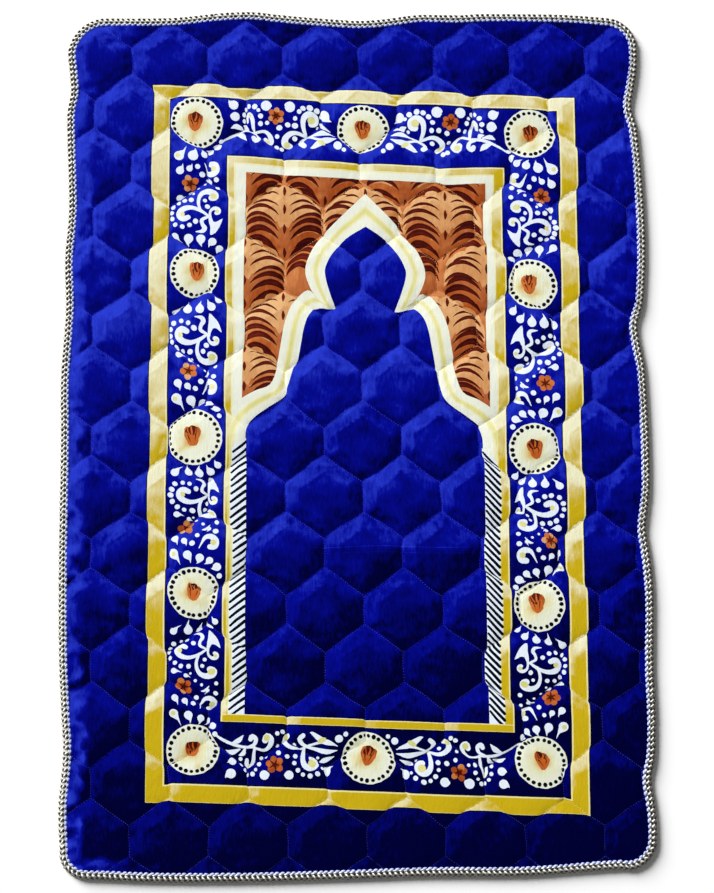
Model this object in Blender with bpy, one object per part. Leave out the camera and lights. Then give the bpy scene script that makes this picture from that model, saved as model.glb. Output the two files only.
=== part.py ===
"""Quilted plush prayer rug, lying flat: a filled pad sewn in hexagons, and a whipped edge.

Metres, +Z up. The origin is on the floor under the middle of the rug, +Y runs along
its length towards the arch, +X across its width.
"""
import math
from collections import namedtuple

import bmesh
import bpy
from mathutils import Matrix, Vector, geometry

# ---------------------------------------------------------------- driving dimensions
RUG_WIDTH = 0.800            # between the widest points of the edge
RUG_LENGTH = 1.196
OUTLINE_SPACING = 0.028      # between points along the straight runs of the edge
CORNER_STEPS = 6             # straight facets in each rounded corner

HEX_PITCH_X = 0.1046         # hexagon centre to centre, across
HEX_PITCH_Y = 0.0765         # row to row
HEX_SIDE = 0.0390            # the upright side of a hexagon
HEX_ORIGIN = (0.0100, 0.2005)  # the upper tip of one hexagon
HEX_LEAN = 0.0105            # how far the columns lean left for each metre up
HEX_HALF = HEX_PITCH_X / 2
HEX_RISE = HEX_PITCH_Y - HEX_SIDE      # height of a slanting side
HEX_TIP = HEX_SIDE / 2 + HEX_RISE      # from the centre of a hexagon to its tip
HEX_SLANT = math.hypot(HEX_HALF, HEX_RISE)

FLOOR = 0.0
EDGE_LOW, EDGE_HIGH = 0.0015, 0.0048   # the pad's thin rim inside the binding
CROWN_HEIGHT = 0.0125                  # the top of a full hexagon
SEAM_HEIGHT = 0.0056                   # the bottom of a sewn channel
DRAW_IN = 0.0200                       # the pad reaches full height this far past the binding

BINDING_REACH = 0.0090       # how far the binding laps over the pad, above and below
BINDING_HEIGHT = 0.0063
BINDING_WALL = 0.0012
BINDING_NOSE = 0.0015        # rounding of its outer side
CLEARANCE = 0.0003
LAP = BINDING_REACH - BINDING_WALL   # how far the binding laps over the pad's own rim

WELD = 0.0003                # points of the plan nearer than this are one point
PLAN_SPACING = 0.0090        # room that the points of the drawn-in band keep to others
PLAN_STEP = 0.0180           # longest piece of a seam or crease in that band
DRAW_IN_STEPS = (0.4, 1.0)   # where the points of that band lie, as shares of its width

MM = 0.001

# Each side of the edge as it lies: how far along the side (from its middle), and how far
# the edge stands outside (+) or inside (-) the widest line. Millimetres.
LEFT_EDGE = [
    # along, outward
    (-555, -10.5), (-505, -7.5), (-430, -12.6), (-380, -9.4), (-300, -4.5), (-154, -1.8),
    (-7, -1.6), (76, 0.0), (176, -4.9), (244, -2.3), (312, -6.5), (449, -1.5), (483, -6.0),
    (535, -1.0),
]
RIGHT_EDGE = [
    # along, outward
    (-530, -2.0), (-500, -1.5), (-475, -9.9), (-450, -3.6), (-380, 0.0), (-316, -1.6),
    (-220, 0.0), (-171, -2.9), (-122, -8.7), (-84, -2.6), (10, -2.2), (109, -7.6), (143, -15.5),
    (178, -7.2), (252, -1.8), (345, -4.0), (431, -10.8), (466, -18.2), (500, -10.8), (535, -8.6),
]
BOTTOM_EDGE = [
    # along, outward
    (-350, -3.5), (-270, 0.0), (-144, 0.0), (-1, -3.8), (94, -7.1), (220, -7.7), (284, -12.0),
    (345, -16.5),
]
TOP_EDGE = [
    # along, outward
    (-330, -9.5), (-252, -8.6), (-185, -1.7), (-145, 0.0), (-102, -4.7), (-35, -10.5),
    (14, -13.0), (50, -9.0), (99, -3.4), (132, -5.4), (166, -3.2), (232, -3.2), (300, -4.7),
    (340, -8.5),
]
CORNER_RADIUS = {
    # corner: radius of its rounding
    "bottom_left": 0.042, "bottom_right": 0.050, "top_right": 0.054, "top_left": 0.060,
}

# A pad rises from its seam: distance from the seam, share of the full height.
PAD_PROFILE = [
    # from seam, share
    (0.0000, 0.00), (0.0035, 0.34), (0.0190, 0.93), (HEX_HALF, 1.00),
]

PLUSH_BLUE = (0.012, 0.018, 0.330, 1.0)
EDGING_GREY = (0.480, 0.480, 0.460, 1.0)


# ---------------------------------------------------------------- helpers
def clear_scene():
    """Remove every object of the scene."""
    for item in list(bpy.data.objects):
        bpy.data.objects.remove(item, do_unlink=True)


def plain_material(name, color, roughness):
    """Return a Principled material of one colour."""
    material = bpy.data.materials.new(name)
    material.use_nodes = True
    shader = material.node_tree.nodes["Principled BSDF"]
    shader.inputs["Base Color"].default_value = color
    shader.inputs["Roughness"].default_value = roughness
    shader.inputs["Metallic"].default_value = 0.0
    return material


def add_object(name, bm, material):
    """Turn a bmesh into a named object of the scene."""
    mesh = bpy.data.meshes.new(name)
    bm.to_mesh(mesh)
    bm.free()
    mesh.materials.append(material)
    item = bpy.data.objects.new(name, mesh)
    bpy.context.scene.collection.objects.link(item)
    return item


def smooth_table(rows, at):
    """Read a table of (place, value) rows at a place, on a smooth curve through the rows."""
    if at <= rows[0][0]:
        return rows[0][1]
    if at >= rows[-1][0]:
        return rows[-1][1]
    last = len(rows) - 1
    index = next(i for i in range(last) if at <= rows[i + 1][0])

    def slope(i):
        before, after = rows[max(i - 1, 0)], rows[min(i + 1, last)]
        return (after[1] - before[1]) / (after[0] - before[0])

    (x0, y0), (x1, y1) = rows[index], rows[index + 1]
    width = x1 - x0
    t = (at - x0) / width
    return ((2 * t**3 - 3 * t**2 + 1) * y0 + (t**3 - 2 * t**2 + t) * width * slope(index)
            + (3 * t**2 - 2 * t**3) * y1 + (t**3 - t**2) * width * slope(index + 1))


# ---------------------------------------------------------------- the uneven outline
Side = namedtuple("Side", "start end half_run half_across rows direction")
SIDES = [
    Side("bottom_left", "bottom_right", RUG_WIDTH / 2, RUG_LENGTH / 2, BOTTOM_EDGE, 1),
    Side("bottom_right", "top_right", RUG_LENGTH / 2, RUG_WIDTH / 2, RIGHT_EDGE, 1),
    Side("top_right", "top_left", RUG_WIDTH / 2, RUG_LENGTH / 2, TOP_EDGE, -1),
    Side("top_left", "bottom_left", RUG_LENGTH / 2, RUG_WIDTH / 2, LEFT_EDGE, -1),
]


def outward(side, along):
    """Return how far a side's edge stands outside its widest line."""
    return smooth_table(side.rows, side.direction * along / MM) * MM


def side_points(side):
    """Return the straight run of a side, as distances along it and away from the middle."""
    first = CORNER_RADIUS[side.start] - side.half_run
    final = side.half_run - CORNER_RADIUS[side.end]
    steps = round((final - first) / OUTLINE_SPACING)
    stops = [first + (final - first) * i / steps for i in range(steps + 1)]
    return [(along, side.half_across + outward(side, along)) for along in stops]


def corner_points(side, following):
    """Return the rounding at a side's end, drawn into both sides' edges."""
    radius = CORNER_RADIUS[side.end]
    here = outward(side, side.half_run - radius)
    there = outward(following, radius - following.half_run)
    points = []
    for i in range(1, CORNER_STEPS):
        share = i / CORNER_STEPS
        angle = share * math.pi / 2
        reach = radius + here * (1 - share) + there * share
        points.append((side.half_run - radius + reach * math.sin(angle),
                       side.half_across - radius + reach * math.cos(angle)))
    return points


def outline():
    """Return the rug's outer edge as 2-D points, counter-clockwise from the bottom left."""
    points = []
    for quarter, side in enumerate(SIDES):
        turn = Matrix.Rotation(quarter * math.pi / 2, 2)
        following = SIDES[(quarter + 1) % len(SIDES)]
        for along, away in side_points(side) + corner_points(side, following):
            points.append(turn @ Vector((along, -away)))
    return points


def inset(points, distance):
    """Move a counter-clockwise outline inwards by a distance, mitred at its points."""
    moved = []
    count = len(points)
    for i, point in enumerate(points):
        before = (point - points[i - 1]).normalized()
        after = (points[(i + 1) % count] - point).normalized()
        normal = Vector((-before.y - after.y, before.x + after.x)).normalized()
        mitre = max(normal.dot(Vector((-before.y, before.x))), 0.5)
        moved.append(point + normal * (distance / mitre))
    return moved


def distance_to(points, place):
    """Return the shortest distance from a place to a closed outline."""
    nearest = math.inf
    for i, end in enumerate(points):
        start = points[i - 1]
        run = end - start
        share = min(max((place - start).dot(run) / run.length_squared, 0.0), 1.0)
        nearest = min(nearest, (start + run * share - place).length)
    return nearest


def is_inside(points, place):
    """Tell whether a place lies within a closed outline."""
    inside = False
    for i, end in enumerate(points):
        start = points[i - 1]
        if (start.y > place.y) != (end.y > place.y):
            share = (place.y - start.y) / (end.y - start.y)
            if place.x < start.x + share * (end.x - start.x):
                inside = not inside
    return inside


def clipped(points, start, end):
    """Return the stretches of a straight line that lie within a closed outline."""
    shares = [0.0, 1.0]
    run = end - start
    for i, corner in enumerate(points):
        crossing = geometry.intersect_line_line_2d(start, end, points[i - 1], corner)
        if crossing:
            shares.append((crossing - start).dot(run) / run.length_squared)
    shares.sort()
    stretches = []
    for near, far in zip(shares, shares[1:]):
        if is_inside(points, start + run * (near + far) / 2):
            stretches.append((start + run * near, start + run * far))
    return stretches


# ---------------------------------------------------------------- the hexagon quilting
def hexagon(center, margin):
    """Return the six corners of a hexagon whose sides lie a margin inside its seams."""
    side_x = HEX_HALF - margin
    tip_y = HEX_TIP - margin * HEX_SLANT / HEX_HALF
    shoulder_y = tip_y - side_x * HEX_RISE / HEX_HALF
    corners = [(0, tip_y), (-side_x, shoulder_y), (-side_x, -shoulder_y),
               (0, -tip_y), (side_x, -shoulder_y), (side_x, shoulder_y)]
    return [center + Vector((x - HEX_LEAN * y, y)) for x, y in corners]


def hexagon_centers():
    """Return the centres of every hexagon that touches the rug."""
    rows = math.ceil(RUG_LENGTH / HEX_PITCH_Y)
    columns = math.ceil(RUG_WIDTH / HEX_PITCH_X)
    centers = []
    for row in range(-rows, rows):
        for column in range(-columns, columns):
            x = HEX_ORIGIN[0] + column * HEX_PITCH_X + (HEX_HALF if row % 2 else 0.0)
            y = HEX_ORIGIN[1] - HEX_TIP + row * HEX_PITCH_Y
            x -= HEX_LEAN * y
            if abs(x) < RUG_WIDTH / 2 + HEX_HALF and abs(y) < RUG_LENGTH / 2 + HEX_TIP:
                centers.append(Vector((x, y)))
    return centers


def distance_to_seam(centers, place):
    """Return how far a place is from the nearest sewn channel."""
    best = 0.0
    for center in centers:
        local = place - center
        x, y = abs(local.x + HEX_LEAN * local.y), abs(local.y)
        if x < HEX_HALF and y < HEX_TIP:
            to_slant = ((HEX_TIP - y) * HEX_HALF - x * HEX_RISE) / HEX_SLANT
            best = max(best, min(HEX_HALF - x, to_slant))
    return best


def pad_height(from_seam, from_rim):
    """Return the height of the pad's face, drawn in at its seams and at the binding."""
    share = min(max(from_rim / DRAW_IN, 0.0), 1.0)
    draw = share * (2 - share)
    crown = SEAM_HEIGHT + (CROWN_HEIGHT - SEAM_HEIGHT) * smooth_table(PAD_PROFILE, from_seam)
    return EDGE_HIGH + (crown - EDGE_HIGH) * draw


# ---------------------------------------------------------------- the pieces
def skin(bm, rings, closed):
    """Join rings of equal count with quads, one after the other."""
    pairs = list(zip(rings, rings[1:]))
    if closed:
        pairs.append((rings[-1], rings[0]))
    for near, far in pairs:
        for i in range(len(near)):
            bm.faces.new((near[i - 1], near[i], far[i], far[i - 1]))


def ring_of(bm, points, height):
    """Add a ring of vertices at one height."""
    return [bm.verts.new((point.x, point.y, height)) for point in points]


def quilt_plan(rim, centers):
    """Return the points of the pad's face and the lines its triangles keep to."""
    rim_end = inset(rim, LAP)
    points, lines, known = [], [], {}

    def index_of(point):
        key = (round(point.x / WELD), round(point.y / WELD))
        if key not in known:
            known[key] = len(points)
            points.append(point)
        return known[key]

    for loop in (rim, rim_end):
        corners = [index_of(point) for point in loop]
        lines.extend((corners[i - 1], corners[i]) for i in range(len(corners)))
    for center in centers:
        if is_inside(rim_end, center):
            index_of(center)
        for margin, _ in PAD_PROFILE[:-1]:
            corners = hexagon(center, margin)
            for i, corner in enumerate(corners):
                for start, end in clipped(rim_end, corners[i - 1], corner):
                    near_rim = min(distance_to(rim_end, start), distance_to(rim_end, end))
                    length = (end - start).length
                    pieces = math.ceil(length / PLAN_STEP) if near_rim < DRAW_IN else 1
                    stops = [index_of(start.lerp(end, k / pieces)) for k in range(pieces + 1)]
                    lines.extend(zip(stops, stops[1:]))
    for share in DRAW_IN_STEPS:
        for point in inset(rim, LAP + DRAW_IN * share):
            if min((point - other).length for other in points) > PLAN_SPACING:
                points.append(point)
    return points, lines


def build_pad(edge):
    """Build the filled pad: quilted face, thin rim, flat underside."""
    rim = inset(edge, BINDING_WALL + CLEARANCE)
    centers = hexagon_centers()
    points, lines = quilt_plan(rim, centers)
    places, _, triangles, _, _, sources = geometry.delaunay_2d_cdt(
        points, lines, [list(range(len(rim)))], 0, WELD / 100)

    bm = bmesh.new()
    inside = [corners for corners, source in zip(triangles, sources) if source]
    face = {}
    for index in sorted({corner for corners in inside for corner in corners}):
        place = places[index]
        height = pad_height(distance_to_seam(centers, place), distance_to(rim, place) - LAP)
        face[index] = bm.verts.new((place.x, place.y, height))
    for corners in inside:
        bm.faces.new([face[index] for index in corners])

    rings = [
        [face[index] for index in range(len(rim))],
        ring_of(bm, rim, EDGE_LOW),
        ring_of(bm, inset(rim, LAP), EDGE_LOW),
        ring_of(bm, inset(rim, LAP + EDGE_LOW), FLOOR),
    ]
    skin(bm, rings, closed=False)
    under = bm.faces.new(rings[-1])
    bmesh.ops.triangulate(bm, faces=[under])
    bmesh.ops.recalc_face_normals(bm, faces=bm.faces)
    return add_object("quilted_pad", bm, plain_material("plush", PLUSH_BLUE, 0.9))


def build_binding(edge):
    """Build the binding: one closed strip lapped round the rim of the pad."""
    top = BINDING_HEIGHT
    wall = BINDING_WALL
    section = [
        # inside the edge, height
        (BINDING_REACH, FLOOR), (BINDING_NOSE, FLOOR), (0.0, top / 2), (BINDING_NOSE, top),
        (BINDING_REACH, top), (BINDING_REACH, top - wall), (wall, top - wall), (wall, wall),
        (BINDING_REACH, wall),
    ]
    bm = bmesh.new()
    skin(bm, [ring_of(bm, inset(edge, distance), height) for distance, height in section],
         closed=True)
    bmesh.ops.recalc_face_normals(bm, faces=bm.faces)
    return add_object("edge_binding", bm, plain_material("edging", EDGING_GREY, 0.8))


def main():
    """Build the rug."""
    clear_scene()
    edge = outline()
    build_pad(edge)
    build_binding(edge)


main()
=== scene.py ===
"""Looks of the quilted plush prayer rug: its printed pad, quilting thread and whipped edge.

Metres, +Z up, +Y towards the arch of the print. The print is laid out in millimetres.
"""

import logging
import math
import random
from dataclasses import dataclass, field
from enum import Enum
from typing import Sequence

import bmesh
import bpy
import numpy as np
from mathutils import Matrix, Vector, geometry


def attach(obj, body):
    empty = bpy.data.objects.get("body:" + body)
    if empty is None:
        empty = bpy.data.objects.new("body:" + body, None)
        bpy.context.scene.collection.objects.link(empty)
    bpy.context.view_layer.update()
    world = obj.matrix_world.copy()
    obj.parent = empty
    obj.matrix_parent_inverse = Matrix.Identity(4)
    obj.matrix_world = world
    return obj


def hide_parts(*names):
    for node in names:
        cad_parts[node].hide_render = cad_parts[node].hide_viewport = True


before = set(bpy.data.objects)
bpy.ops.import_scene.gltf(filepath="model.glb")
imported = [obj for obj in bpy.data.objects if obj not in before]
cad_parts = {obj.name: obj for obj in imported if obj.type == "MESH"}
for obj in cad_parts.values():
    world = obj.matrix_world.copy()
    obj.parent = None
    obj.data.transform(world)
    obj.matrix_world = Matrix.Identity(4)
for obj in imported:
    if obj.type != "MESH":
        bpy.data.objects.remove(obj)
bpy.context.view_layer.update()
LOG = logging.getLogger("prayer_rug")
MM = 0.001
Array, BMesh, Mesh = np.ndarray, bmesh.types.BMesh, bpy.types.Mesh
Material, Node, Socket = bpy.types.Material, bpy.types.Node, bpy.types.NodeSocket
# the way to the light in the plan, towards the upper left
TO_LIGHT = (-0.55, 0.83)


# ---- shapes of the print
class Dye(Enum):
    """The printed colours; the value is the name of the plush that shows it."""

    BLUE = "plush_blue"
    NAVY = "plush_navy"
    GOLD = "plush_gold"
    CREAM = "plush_cream"
    WHITE = "plush_white"
    BUTTER = "plush_butter"
    CLAY = "plush_clay"
    SAND = "plush_sand"
    BROWN = "plush_brown"
    ORANGE = "plush_orange"
    MAROON = "plush_maroon"
    OLIVE = "plush_olive"
    COPPER = "plush_copper"
    ICE = "plush_ice"


@dataclass
class Patch:
    """One printed shape: its dye and closed outline, in metres once it lies on the rug."""

    outline: Array
    dye: Dye


def smooth_curve(stops: Sequence[Sequence[float]], per_span: int,
                 closed: bool = False) -> Array:
    """Draw a smooth curve through rows of numbers.

    Args:
        stops: rows of two or more columns that the curve passes through.
        per_span: points for each span between two rows.
        closed: whether the curve runs on from the last row to the first.

    Returns:
        The rows of the curve.
    """
    rows = np.asarray(stops, float)
    if closed:
        ring = np.vstack([rows[-1:], rows, rows[:2]])
    else:
        ring = np.vstack([2 * rows[0] - rows[1], rows, 2 * rows[-1] - rows[-2]])
    share = np.linspace(0, 1, per_span, endpoint=False)[:, None]
    spans = []
    for a, b, c, d in zip(ring, ring[1:], ring[2:], ring[3:]):
        spans.append(0.5 * (2 * b + (c - a) * share + (2 * a - 5 * b + 4 * c - d) * share**2
                            + (3 * b - a - 3 * c + d) * share**3))
    if not closed:
        spans.append(rows[-1:])
    return np.vstack(spans)


def circle(center: Sequence[float], radius: float, count: int, wide: float = 1.0,
           turn: float = 0.0) -> Array:
    """Return a circle, or an oval that is `wide` times as wide as high.

    Args:
        center: its middle.
        radius: half its height.
        count: points round it.
        wide: its width over its height.
        turn: angle by which it is turned, in radians.

    Returns:
        The outline, counter-clockwise.
    """
    angles = np.linspace(0, 2 * math.pi, count, endpoint=False)
    x, y = np.cos(angles) * radius * wide, np.sin(angles) * radius
    cos, sin = math.cos(turn), math.sin(turn)
    return np.column_stack([center[0] + x * cos - y * sin, center[1] + x * sin + y * cos])


def stroke(stops: Sequence[Sequence[float]], per_span: int = 3) -> Array:
    """Return the outline of a brush stroke whose width changes along its way.

    Args:
        stops: rows of x, y, width.
        per_span: points for each span between two rows.

    Returns:
        The closed outline, with round ends where the stroke is wide there.
    """
    run = smooth_curve(stops, per_span)
    points, half = run[:, :2], np.maximum(run[:, 2:], 0.3) / 2
    heading = np.gradient(points, axis=0)
    heading /= np.linalg.norm(heading, axis=1)[:, None] + 1e-9
    side = np.column_stack([-heading[:, 1], heading[:, 0]]) * half

    def end(point: Array, forward: Array, radius: float) -> Array:
        """Round off one end.

        Args:
            point: where the stroke ends.
            forward: the way it points there.
            radius: half its width there.

        Returns:
            The points from its right to its left, or a single tip on a thin stroke.
        """
        if radius < 1.0:
            return (point + forward * radius)[None, :]
        left = np.array([-forward[1], forward[0]])
        angles = np.linspace(-math.pi / 2, math.pi / 2, 7)[1:-1, None]
        return point + radius * (np.cos(angles) * forward + np.sin(angles) * left)

    tip = end(points[-1], heading[-1], float(half[-1, 0]))
    tail = end(points[0], -heading[0], float(half[0, 0]))
    return np.vstack([points - side, tip, (points + side)[::-1], tail])


def drop(head: Sequence[float], radius: float, tip: Sequence[float]) -> Array:
    """Return a comma: a round head with a thin tail that bends a little.

    Args:
        head: middle of its head.
        radius: radius of its head.
        tip: where its tail ends.

    Returns:
        The closed outline.
    """
    center, end = np.asarray(head, float), np.asarray(tip, float)
    ahead = end - center
    reach = float(np.linalg.norm(ahead))
    ahead = ahead / reach
    left = np.array([-ahead[1], ahead[0]])
    angles = np.linspace(math.radians(46), math.radians(314), 11)[:, None]
    round_part = center + radius * (np.cos(angles) * ahead + np.sin(angles) * left)
    waist, bend = radius * 0.22, left * radius * 0.20
    along = radius + (reach - radius) * 0.30
    return np.vstack([round_part, center + ahead * along - left * waist + bend, end,
                      center + ahead * along + left * waist + bend])


@dataclass
class Motif:
    """A group of shapes drawn once about its own origin and printed in many places."""

    strokes: list = field(default_factory=list)
    leaves: list = field(default_factory=list)
    drops: list = field(default_factory=list)
    dots: list = field(default_factory=list)
    hearts: list = field(default_factory=list)

    def patches(self, rng: random.Random, weight: float) -> list[Patch]:
        """Return the shapes, each a little unlike the drawn one.

        Args:
            rng: source of the small unevenness.
            weight: how bold the strokes, drops and dots are, 1 as drawn.

        Returns:
            White shapes, and the yellowish hearts that lie on them.
        """
        found = []
        for stops in self.strokes:
            rows = np.array(stops, float)
            rows[:, :2] += [rng.gauss(0, 0.35), rng.gauss(0, 0.35)]
            rows[:, 2] *= rng.uniform(0.82, 0.98) * weight
            found.append(Patch(stroke(rows), Dye.ICE))
        for outline in self.leaves:
            rows = np.array(outline, float)
            rows += [[rng.gauss(0, 0.3), rng.gauss(0, 0.3)] for _ in rows]
            found.append(Patch(smooth_curve(rows, 2, closed=True), Dye.ICE))
        for x, y, radius, tip_x, tip_y in self.drops:
            size = radius * rng.uniform(0.92, 1.08) * weight
            tip = (tip_x + rng.gauss(0, 0.6), tip_y + rng.gauss(0, 0.6))
            found.append(Patch(drop((x, y), size, tip), Dye.ICE))
        for x, y, radius in self.dots:
            size = radius * rng.uniform(0.9, 1.1) * weight
            place = (x + rng.gauss(0, 0.4), y + rng.gauss(0, 0.4))
            count = 9 if radius < 4 else 12
            found.append(Patch(circle(place, size, count, rng.uniform(0.88, 1.18),
                                      rng.uniform(0, math.pi)), Dye.ICE))
        for x, y, radius, wide, turn in self.hearts:
            place = (x + rng.gauss(0, 0.4), y + rng.gauss(0, 0.4))
            found.append(Patch(circle(place, radius * 1.2, 11, wide, turn), Dye.OLIVE))
        return found


# The scroll between a medallion and a small flower, with its leaves, as it lies in the
# upright bands. Origin at the flower; x towards the middle of the rug, y towards the
# medallion. Millimetres.
SCROLL = Motif(
    strokes=[
        # x, y, width
        [(28, 50, 3.5), (19, 43.2, 5), (7.5, 38.6, 6.5), (-2.5, 39.6, 8.5),
         (-8.8, 44.8, 9.5), (-9.3, 51, 9.8), (-4.4, 54.8, 9.5), (1.6, 52.6, 8)],
        [(19, 44, 4), (16, 35, 4.5), (15.8, 26.5, 5.5), (19.5, 18.6, 7),
         (27, 15, 9), (35, 17.2, 11.5), (36.6, 22, 11.5), (33, 24, 10.5)],
        [(29.6, 49, 3.5), (31, 42, 4), (35.4, 38.4, 6), (40, 39.6, 7.5),
         (40.6, 43.6, 7.5), (38.4, 45, 6.5)],
        [(27, 50.6, 3.5), (20, 54.6, 5), (20.4, 60.6, 5), (23.2, 65.6, 6.5),
         (20.6, 70.4, 5.5), (12, 71.4, 1.2)],
        [(30, 48, 3.5), (30.4, 54, 4.5), (31.4, 60, 5)],
    ],
    leaves=[[(29, 55), (30.2, 66), (30.8, 76.4), (36.6, 72.8), (42, 64.8),
             (46.2, 53), (40, 57), (34.6, 57.4), (32.4, 52)]],
    drops=[
        # x, y, radius, tip x, tip y
        (-13, 20.9, 4.6, -3, 19), (2.6, 15, 3.2, 8.6, 12),
        (-15.9, 79.3, 5.4, -5.4, 88.8), (2.5, 81.4, 6, 3.4, 94.6),
        (18.4, 81.8, 5.8, 19.2, 92.6), (33.4, 85.2, 5.4, 28, 94.8),
        (42.6, 95, 4.8, 38.2, 102.4),
    ],
    dots=[
        # x, y, radius
        (11.4, 57.6, 3.5), (3.3, 63.6, 3.4), (-5.8, 65.4, 3.3), (-15, 62.6, 3.5),
        (-19.4, 55, 3.6), (-20.6, 46.8, 3.5), (-18.6, 38.2, 3.5), (-11.6, 31.8, 3.4),
        (-3.6, 27.3, 3.4), (6.2, 26.8, 3.6), (26.6, 36.4, 3.2), (23.6, 28, 3),
        (8.2, 18.2, 1.9), (14.4, 8.2, 2.2), (22.8, 2.4, 2.1), (40.6, 6.2, 3.3),
    ],
    hearts=[
        # x, y, half height, width over height, turn
        (35, 21, 3.4, 1.25, 0.4), (-5.8, 48.6, 3, 0.85, 0.2), (39.4, 42, 1.9, 1.1, 0),
    ],
)

# What lies on the other side of the small flower in the upright bands.
SEEDS = Motif(
    strokes=[
        # x, y, width
        [(18.2, -30.4, 1), (22.4, -22, 3.4), (26.4, -15.8, 6.4), (33.4, -14.6, 9),
         (38.8, -19.6, 10.5), (37.6, -26.8, 10.5), (32, -28.2, 8.5)],
        [(21.8, -5.6, 1.4), (26.6, -4.6, 4), (31.6, 1.2, 1.2)],
    ],
    drops=[
        # x, y, radius, tip x, tip y
        (-13.6, -17.3, 5, -9.6, -27), (-1.2, -20.7, 4.2, 1.8, -27.4),
        (-15, -37.8, 6.8, -5.2, -53.4), (3.3, -39.2, 6.5, 5.8, -50.6),
        (19, -42.4, 5.4, 15.4, -50.6), (31.4, -45.4, 5, 24.2, -50),
        (40.6, -53.6, 5.4, 33, -54.8), (30.4, -3.6, 2.6, 27, -8.6),
    ],
    dots=[
        # x, y, radius
        (15.4, -13, 3.6), (39.6, -7, 3.4), (9.2, -23.8, 3.6), (44.2, -64.4, 3.6),
    ],
    hearts=[(36, -21.8, 3.2, 1, 0.3), (-16, -38, 2.6, 1, 0)],
)

# The wide scroll of the level bands. Origin at the small flower; x towards the medallion,
# y towards the middle of the rug.
WIDE_SCROLL = Motif(
    strokes=[
        # x, y, width
        [(39.4, 26, 4), (36.2, 17.5, 5.5), (35, 7.5, 7), (37.6, -0.2, 8.6),
         (44.2, -3, 10), (50.6, 1.6, 11), (50.4, 8, 11), (46.4, 9.6, 9.5)],
        [(40, 27, 3.5), (28.4, 22.2, 5), (18.6, 23.2, 7), (11.8, 29.8, 8.5),
         (11.7, 37.6, 10), (17.4, 40.8, 9.5)],
        [(44, 28, 3.5), (36.6, 31.6, 6), (33.6, 37.6, 7.5), (38, 42, 7)],
        [(41, 28.4, 4), (53, 25.6, 5.5), (66.8, 22.6, 8), (80.6, 24.8, 1)],
        [(44, 29, 3.5), (58.4, 33.4, 4), (68, 34.6, 7.5), (80.8, 29.8, 1)],
        [(76, 31.6, 3), (67, 34, 8), (58.6, 38.6, 9), (50.4, 44.6, 5),
         (47, 45.6, 1)],
        [(58, 8.4, 2), (64.6, 11.6, 8.4), (76.6, 17, 1)],
    ],
    drops=[(67.6, -4.4, 6.8, 78.4, 2.4), (17.6, -12.4, 6.9, 11.6, -10.6)],
    dots=[
        # x, y, radius
        (29.2, -5.8, 3.3), (35, -11.2, 3.4), (43.8, -12.4, 3.8), (53.2, -8.8, 3.9),
        (59.6, -2, 2.6), (24.7, 2.2, 3), (25, 11.6, 3.7), (15.4, 11.4, 3.6),
        (24.6, 29.4, 3.2), (4.4, 15.6, 3.2), (82.6, 40, 5.4), (91, 45.6, 3.2),
        (55.4, 14.8, 2.3), (6.2, 45.4, 3),
    ],
    hearts=[
        # x, y, half height, width over height, turn
        (46.4, 4, 4.4, 1, 0.3), (13.4, 38.4, 3.4, 1, 0.5), (61.4, 37.4, 2.6, 1.9, 0.5),
    ],
)

# The narrower scroll next to the corner medallions.
NARROW_SCROLL = Motif(
    strokes=[
        # x, y, width
        [(28.4, 23.6, 3.6), (29.4, 14.2, 5), (30.4, 4.4, 6.2), (34.2, -2.6, 7),
         (38.4, 1, 7), (38, 7.6, 5.6)],
        [(27, 23.4, 3.5), (16, 21.4, 4.4), (9, 27.2, 6.6), (7.6, 35, 8.6),
         (12.4, 38.6, 10), (15, 33.6, 8.5)],
        [(36, 25, 3.2), (28.6, 28.4, 5), (26.6, 35, 6.4), (31, 38.2, 7.6),
         (33.2, 34.6, 6.6)],
        [(28, 24.4, 3.4), (43.4, 24.4, 4.4), (58.6, 28.4, 5), (70, 33.6, 4.4),
         (78.6, 39.4, 2.4)],
        [(64.6, 19.4, 1), (57.4, 16.8, 8), (46.6, 21.2, 2.4)],
        [(56.6, 29.4, 2.4), (48.4, 32.8, 8), (42.4, 39.4, 1)],
        [(40, 23, 3), (42.4, 17, 7), (47.4, 14.6, 2)],
    ],
    drops=[(61.6, -13, 6.6, 68.4, -18.6), (59.6, 2.6, 5.8, 66.8, 1),
           (13, -13.2, 6.9, 8, -9.6)],
    dots=[
        # x, y, radius
        (23.4, -6.8, 2.5), (28.4, -12.6, 3.3), (36.6, -13.4, 3.1), (43.2, -8.4, 3.3),
        (46.8, -0.8, 3.3), (46, 8.4, 3.3), (20.4, 0.8, 3.1), (20.4, 10.6, 3.1),
        (11.6, 10, 2.8), (-2, 27.4, 3), (-0.4, 43.2, 3.2),
    ],
    hearts=[(35, -0.6, 2, 0.8, 0.2), (12.6, 36.6, 3.4, 1, 0)],
)


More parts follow.
